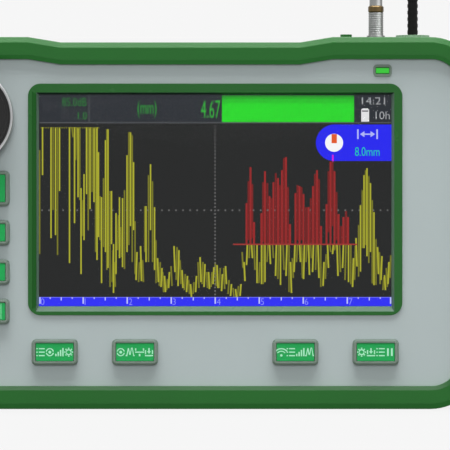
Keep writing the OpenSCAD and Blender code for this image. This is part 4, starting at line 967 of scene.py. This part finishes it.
dim_echoes = [
    (0.009, 25.3, 86.5), (0.314, 51.2, 100), (0.416, 24.7, 100), (0.757, 94.1, 100),
    (0.836, 80.6, 100), (0.92, 57.1, 100), (0.986, 35.9, 57.1), (1.113, 39.4, 100),
    (1.2, 61.8, 100), (1.281, 26.5, 100), (1.381, 33.5, 59.4), (1.461, 29.4, 70),
    (1.536, 15.9, 98.8), (1.609, 5.9, 62.4), (1.668, 8.8, 27.6), (1.718, 5.9, 20.6),
    (1.79, 27.6, 48.2), (1.859, 23.5, 41.2), (1.938, 16.5, 62.9), (2.036, 30.6, 97.1),
    (2.113, 20.6, 95.3), (2.177, 13.5, 44.7), (2.268, 8.8, 20.6), (2.358, 8.8, 21.8),
    (2.399, 26.5, 53.5), (2.483, 20.6, 71.8), (2.574, 20.6, 68.2), (2.654, 8.2, 33.5),
    (2.74, 6.5, 20.6), (2.817, 2.9, 14.7), (2.904, 4.1, 10.6), (3.006, 6.5, 18.2),
    (3.122, 10, 29.4), (3.21, 7.6, 21.8), (3.308, 4.1, 13.5), (3.404, 1.8, 10),
    (3.506, 1.8, 8.8), (3.619, 5.3, 20.6), (3.71, 7.6, 20.6), (3.813, 5.3, 14.7),
    (3.915, 5.9, 14.7), (4.008, 6.5, 20.6), (4.103, 5.3, 17.1), (4.203, 4.7, 17.1),
    (4.303, 1.8, 10), (4.415, 0, 5.3), (4.517, 0, 6.5), (4.621, 17.1, 26.5),
    (4.778, 22.9, 31.2), (4.892, 15.9, 31.2), (5.001, 8.2, 20.6), (5.089, 7.6, 31.2),
    (5.187, 20.6, 31.2), (5.312, 22.9, 31.2), (5.433, 10.6, 31.2), (5.551, 15.9, 31.2),
    (5.676, 2.9, 31.2), (5.762, 11.2, 22.9), (5.857, 20.6, 31.2), (5.971, 11.2, 31.2),
    (6.073, 20.6, 31.2), (6.176, 22.9, 31.2), (6.289, 15.9, 31.2), (6.398, 5.9, 31.2),
    (6.512, 10.6, 25.3), (6.614, 26.5, 31.2), (6.721, 27.5, 31.2), (6.834, 14.7, 31.2),
    (6.959, 10, 31.2), (7.08, 7.6, 31), (7.175, 10, 30), (7.257, 12, 42.4), (7.341, 28.8, 62.9),
    (7.416, 30.6, 74.7), (7.489, 20, 71.2), (7.568, 8, 57.1), (7.652, 7.1, 34.1),
    (7.739, 7.6, 26.5), (7.821, 4.1, 11.8), (7.898, 5.9, 17.1), (7.98, 11.2, 24.7),
]
bright_gated = [
    (4.71, 31.2, 55.3), (4.801, 31.2, 76.5), (4.88, 31.2, 44.1), (5.051, 31.2, 49.4),
    (5.13, 31.2, 74.1), (5.233, 31.2, 59.4), (5.323, 31.2, 67.6), (5.426, 31.2, 70),
    (5.517, 31.2, 74.7), (5.607, 31.2, 82.4), (5.698, 31.2, 42.9), (5.823, 31.2, 61.2),
    (5.914, 31.2, 65.3), (6.005, 31.2, 60.6), (6.119, 31.2, 52.9), (6.221, 31.2, 65.3),
    (6.312, 31.2, 74.7), (6.403, 31.2, 41.8), (6.528, 31.2, 54.7), (6.619, 31.2, 79.7),
    (6.709, 31.2, 74.1), (6.8, 31.2, 48.8), (6.914, 31.2, 47.1), (7.016, 31.2, 47.1),
]
dim_gated = [
    (4.755, 33.5, 68.2), (4.842, 34.7, 66.5), (5.089, 32.4, 67.6), (5.183, 31.2, 67.1),
    (5.278, 31.2, 58.2), (5.376, 31.2, 72.9), (5.471, 31.2, 65.9), (5.562, 31.2, 81.8),
    (5.653, 31.2, 64.7), (5.869, 33.5, 65.9), (5.96, 33.5, 64.7), (6.062, 31.2, 52.9),
    (6.171, 31.2, 58.2), (6.266, 31.2, 72.4), (6.357, 31.2, 69.4), (6.573, 38.2, 74.1),
    (6.664, 41.8, 79.7), (6.755, 33.5, 61.8), (6.864, 31.2, 41.8), (6.971, 31.2, 50.6),
]
divisions = 8
division = (picture_right - picture_left) / divisions
full_top = field_top - 1.7
percent = (full_top - field_bottom) / 100
short_echo = 22
stouter = 1.12


def strokes(marks, wide, lean=0.0):
    """Outlines of the echoes; short ones are stouter and lean by turns."""
    made = []
    for place, (x, low, high) in enumerate(marks):
        short = high - low < short_echo
        half = (stouter * wide if short else wide) / 2
        middle = picture_left + x * division
        shift = (lean if place % 2 else -lean) if short else 0
        foot, tip = field_bottom + low * percent, field_bottom + high * percent
        made.append([
            (middle - shift - half, foot), (middle - shift + half, foot),
            (middle + shift + half, tip), (middle + shift - half, tip),
        ])
    return made


left_end, right_end = picture_left - past_edge, picture_right + past_edge
bottom_end, top_end = picture_bottom - past_edge, picture_top + past_edge
ground = box(left_end, bottom_end, right_end, field_top)
prism("screen_field", [ground], picture_back, layer(0)[0], lit("lcd_black", 44, 45, 45))
status = box(left_end, field_top, right_end, top_end)
prism("status_bar", [status], picture_back, layer(0)[0], lit("lcd_slate", 50, 53, 58))
rule_top = field_top + 0.5
rules = [
    box(picture_left, field_top, picture_right, rule_top),
    box(-39.6, rule_top, -39.2, picture_top - 0.6),
]
prism("status_rules", rules, *layer(0), lit("lcd_grey", 82, 84, 87))
# Painted shadow: a darker strip along the top edge of the picture, under the bezel's top lip.
shade = box(left_end, picture_top - 0.5, right_end, top_end)
prism("status_painted_shadow", [shade], *layer(0), lit("lcd_painted_shadow", 36, 38, 41))
dotted_x, dotted_z = 14.9, 85.5
dot = 0.33
upright_pitch, lying_pitch, off_crossing = 1.51, 3.04, 1.3
upright = [(dotted_x, field_bottom + 1.1 + upright_pitch * k) for k in range(49)]
lying = [(picture_left + 1.2 + lying_pitch * k, dotted_z) for k in range(50)]
spots = upright + [(x, z) for x, z in lying if abs(x - dotted_x) > off_crossing]
dots = [box(x - dot, z - dot, x + dot, z + dot) for x, z in spots]
prism("grid_dots", dots, *layer(0), lit("lcd_dots", 108, 108, 108))
yellow, yellow_dim = lit("lcd_yellow", 170, 170, 52), lit("lcd_yellow_dim", 120, 120, 44)
red, red_dim = lit("lcd_red", 152, 47, 47), lit("lcd_red_dim", 118, 42, 42)
prism("trace_dim", strokes(dim_echoes, 0.62, -0.2), *layer(0), yellow_dim)
prism("trace_bright", strokes(bright_echoes, 0.62, 0.2), *layer(1), yellow)
prism("trace_gated_dim", strokes(dim_gated, 0.8), *layer(0), red_dim)
prism("trace_gated", strokes(bright_gated, 0.8), *layer(1), red)
clipped = [(0.05 + 0.052 * k, 99.3, 100) for k in range(26)]
prism("trace_limit", strokes(clipped, 0.5), *layer(2), yellow_dim)
gate = box(22.7, 70.5, 76.2, 71.1)
prism("gate_line", [gate], *layer(2), lit("lcd_gate", 156, 58, 55))

scale_band = box(left_end, bottom_end, right_end, field_bottom)
prism("scale_band", [scale_band], *layer(2), lit("lcd_blue", 54, 54, 244))
edge_line = box(picture_left, field_bottom - 0.3, picture_right, field_bottom)
prism("scale_edge", [edge_line], *layer(3), lit("lcd_pale_blue", 112, 114, 250))
tick_lengths = (2.9, 0.8, 1.5, 0.8)
wide_tick, fine_tick = 0.3, 0.22
ticks = []
for quarter in range(4 * divisions + 1):
    long = tick_lengths[quarter % 4]
    half = wide_tick if quarter % 4 == 0 else fine_tick
    x = min(max(picture_left + quarter * division / 4, picture_left + half), picture_right - half)
    ticks.append(box(x - half, field_bottom - long, x + half, field_bottom - 0.05))
prism("scale_ticks", ticks, *layer(4), lit("lcd_ticks", 192, 195, 248))
scale_ink = lit("lcd_figures", 138, 142, 248)
for number in range(divisions):
    left = picture_left + number * division + 0.65
    lettering(
        f"scale_{number}", str(number), left, 44.7, None, 47.5, *layer(3), scale_ink, narrow=0.9
    )

label_x, label_z, label_r = 66.2, 114.6, 7.85
label = curve(label_x, label_z, label_r, 90, 270)
label += [(right_end, label_z - label_r), (right_end, label_z + label_r)]
prism("range_label", [label], *layer(2), lit("lcd_label", 46, 46, 238))
prism("range_dial", [disc(label_x, label_z, 3.9)], *layer(3), lit("lcd_white", 246, 246, 248))
pointer = box(label_x - 1.1, label_z - 0.2, label_x + 1.2, label_z + 3.75)
prism("range_pointer", [pointer], *layer(4), lit("lcd_orange", 226, 92, 48))
span = [
    box(76.1, 116.2, 76.8, 120.4),
    box(84.4, 116.2, 85.1, 120.4),
    [(77.3, 118.3), (79.3, 117), (79.3, 118), (81.9, 118), (81.9, 117), (83.9, 118.3),
     (81.9, 119.6), (81.9, 118.6), (79.3, 118.6), (79.3, 119.6)],
]
prism("range_symbol", span, *layer(3), lit("lcd_pale", 176, 182, 244))
teal = lit("lcd_teal", 40, 206, 164)
lettering("range_value", "8.0mm", 75.2, 108.9, 85.8, 112.7, *layer(3), teal)
tip = box(65.3, 106.6, 66, 109.4)
prism("trace_tip", [tip], *layer(4), lit("lcd_magenta", 206, 40, 214))

# The coupling bar is drawn in four bands that darken towards its top: painted shade under the
# bezel's top lip.
bar_left, bar_right = 17.9, 74.8
bar_heights = (123.5, 131.6, 133.4, 134.3, 135)
for k, green in enumerate((214, 192, 168, 140)):
    band = box(bar_left, bar_heights[k], bar_right, bar_heights[k + 1])
    prism(f"coupling_bar_{k}", [band], *layer(1), lit(f"lcd_green_{k}", 47, green, 48))
readings = {
    "gain_value": ("85.0dB", -51, 130.4, -40.5, 134, (46, 124, 54)),
    "gain_step": ("1.0", -44.2, 124.7, -40.4, 127.8, (50, 140, 58)),
    "depth_unit": ("(mm)", -18.5, 125.2, -10.4, 132.8, (50, 160, 60)),
    "case_depth": ("4.67", 8.8, 125.2, 17.1, 132.9, (56, 178, 63)),
    "clock": ("14:21", 78.2, 131.1, 88.2, 134.2, (168, 170, 173)),
    "charge_left": ("10h", 84.1, 124.7, 90.2, 128.1, (164, 166, 169)),
}
for name, (text, left, bottom, right, top, shade) in readings.items():
    lettering(name, text, left, bottom, right, top, *layer(1), lit("lcd_" + name, *shade))
cell = [
    box(77.9, 123.7, 81.3, 128),
    box(78.4, 128.5, 80.8, 129.4),
    box(77.9, 128, 78.3, 129),
    box(80.9, 128, 81.3, 129),
]
prism("charge_symbol", cell, *layer(1), lit("lcd_bright", 226, 226, 228))

# Lamp glow and bezel strip. The core of the lamp, lit by a green diode behind its lens, and
# a darker green strip laid on the face of the bezel along its inner left side.
skin_thick = 0.13
lens_face, bezel_face = 21.7, 22.4
lamp_core = box(84.2, 144.55, 89.8, 146.65)
glow = lit("lamp_glow", 66, 196, 66)
prism("lamp_core", [lamp_core], lens_face, lens_face + skin_thick, glow)
strip_left, strip_right = -63.8, -61.95
bezel_dark_strip = [(strip_left, 43), (strip_right, 44.4), (strip_right, 135.4), (strip_left, 136.8)]
strip_green = finish(
    "strip_green", moulded_skin, {"Colour": paint(20, 80, 24), "Drift": 0.1, "Edge rub": 0.0}
)
prism("bezel_dark_strip", [bezel_dark_strip], bezel_face, bezel_face + skin_thick, strip_green)

# Screen glass. A clear cover with an anti-reflection coat, held under the bezel's lip; it
# takes the place of the CAD window, a little thinner.
glass = bpy.data.materials.new("cover_glass")
glass.use_nodes = True
shader = glass.node_tree.nodes["Principled BSDF"]
shader.inputs["Base Color"].default_value = (1, 1, 1, 1)
shader.inputs["Transmission Weight"].default_value = 1.0
shader.inputs["Roughness"].default_value = 0.0
shader.inputs["IOR"].default_value = 1.045
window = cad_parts["display_window"]
corners = [window.matrix_world @ v.co / mm for v in window.data.vertices]
pane = box(
    min(c.x for c in corners), min(c.z for c in corners),
    max(c.x for c in corners), max(c.z for c in corners),
)
pane_back, pane_front = 19.6, 20.6
screen_glass = prism("screen_glass", [pane], pane_back, pane_front, glass)
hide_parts("display_window")

# Key legends. Pale green pictograms printed on the caps in silicone ink; each rides on its
# own key.
legend_mint = finish(
    "legend_mint",
    moulded_skin,
    {
        "Colour": paint(172, 234, 198),
        "Drift": 0.2,
        "Patches per metre": 500.0,
        "Edge radius": 0.0,
        "Edge rub": 0.0,
        "Grains per metre": 3000.0,
        "Grain height": 0.00001,
        "Gloss loss": 0.5,
    },
)
legend_green = finish(
    "legend_green", moulded_skin, {"Colour": paint(96, 196, 130), "Drift": 0.2, "Edge rub": 0.0}
)


def arc(x, z, radius, width, start, end):
    """The outline of a curved bar, between two angles."""
    return curve(x, z, radius, start, end) + curve(x, z, radius - width, start, end)[::-1]


signs = {
    "list": [box(-2, z - 0.3, -1.3, z + 0.3) for z in (-1.7, 0, 1.7)]
    + [box(-0.8, z - 0.3, 2.1, z + 0.3) for z in (-1.7, 0, 1.7)],
    "target": [arc(0, 0, 2, 0.55, 10, 170), arc(0, 0, 2, 0.55, 190, 350), disc(0, 0, 0.7)],
    "fan": [arc(0, -2, 4, 0.6, 40, 140), arc(0, -2, 2.7, 0.5, 40, 140), disc(0, -1.6, 0.6)],
    "bars": [box(-2 + 1.15 * k, -2, -1.3 + 1.15 * k, -0.8 + 0.95 * k) for k in range(4)],
    "gear": [arc(0, 0, 1.5, 0.6, 8, 172), arc(0, 0, 1.5, 0.6, 188, 352)]
    + [
        [
            (math.cos(a) * r - math.sin(a) * s, math.sin(a) * r + math.cos(a) * s)
            for r, s in ((1.6, -0.35), (2.2, -0.35), (2.2, 0.35), (1.6, 0.35))
        ]
        for a in (math.radians(45 * k) for k in range(8))
    ],
    "echo": [
        [(-2.2, -2), (-1.4, -2), (-0.9, 1), (-0.4, -1.4), (0.2, -1.4), (0.9, 2.1), (1.5, -2),
         (2.2, -2), (2.2, -1.4), (1.9, -1.4), (1.2, 2.2), (0.5, 2.2), (-0.1, -0.6), (-0.6, 2),
         (-1.1, 2), (-1.8, -1.4), (-2.2, -1.4)],
    ],
    "gate": [box(-2.2, -0.3, 2.2, 0.3), box(-2.2, 0.7, -1.6, 1.9), box(1.6, 0.7, 2.2, 1.9),
             box(-0.4, -2, 0.4, -0.8)],
    "store": [box(-2, -2, 2, -1.4), box(-2, -1, -1.4, 1), box(1.4, -1, 2, 1),
              [(-1, 0.4), (0, -0.8), (1, 0.4), (0.35, 0.4), (0.35, 2), (-0.35, 2), (-0.35, 0.4)]],
    "up": [[(-1.9, -0.4), (1.9, -0.4), (0, 1.9)], box(-0.5, -1.9, 0.5, -0.9)],
    "down": [[(-1.9, 0.4), (0, -1.9), (1.9, 0.4)], box(-0.5, 0.9, 0.5, 1.9)],
    "left": [[(0.4, -1.9), (0.4, 1.9), (-1.9, 0)], box(0.9, -0.5, 1.9, 0.5)],
    "right": [[(-0.4, 1.9), (-0.4, -1.9), (1.9, 0)], box(-1.9, -0.5, -0.9, 0.5)],
    "enter": [[(-2, -0.6), (-0.4, -1.8), (-0.4, -0.95), (1.9, -0.95), (1.9, 1.8), (1.2, 1.8),
               (1.2, -0.25), (-0.4, -0.25), (-0.4, 0.6)]],
    "power": [arc(0, -0.2, 1.9, 0.55, 125, 415), box(-0.3, -0.1, 0.3, 2.1)],
    "hold": [box(-1.4, -1.9, -0.5, 1.9), box(0.5, -1.9, 1.4, 1.9)],
    "plate": [box(-5, -3.45, 5, 3.45)],
}
printed = {
    "menu_key_1": ["list", "target", "bars", "gear"],
    "menu_key_2": ["target", "echo", "gate", "store"],
    "menu_key_3": ["fan", "list", "bars", "echo"],
    "menu_key_4": ["gear", "store", "list", "hold"],
    "side_key_1": ["fan"],
    "side_key_2": ["enter"],
    "side_key_3": ["up"],
    "side_key_4": ["left"],
    "side_key_5": ["down"],
    "side_key_6": ["right"],
    "side_key_7": ["power"],
    "side_key_8": ["plate"],
}
sign_pitch = 4.05
sign_size = {1: 1.0, 4: 0.88}
ink_half = 0.03
for key, names in printed.items():
    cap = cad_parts[key]
    corners = [cap.matrix_world @ v.co / mm for v in cap.data.vertices]
    x = (min(c.x for c in corners) + max(c.x for c in corners)) / 2
    z = (min(c.z for c in corners) + max(c.z for c in corners)) / 2
    face = -min(c.y for c in corners)
    size = sign_size[len(names)]
    first = x - sign_pitch * (len(names) - 1) / 2
    outlines = [
        [
            (first + sign_pitch * place + size * u, z + size * w)
            for u, w in outline
        ]
        for place, name in enumerate(names)
        for outline in signs[name]
    ]
    ink = legend_green if names == ["plate"] else legend_mint
    prism(key + "_legend", outlines, face - ink_half, face + ink_half, ink, key + "_body")
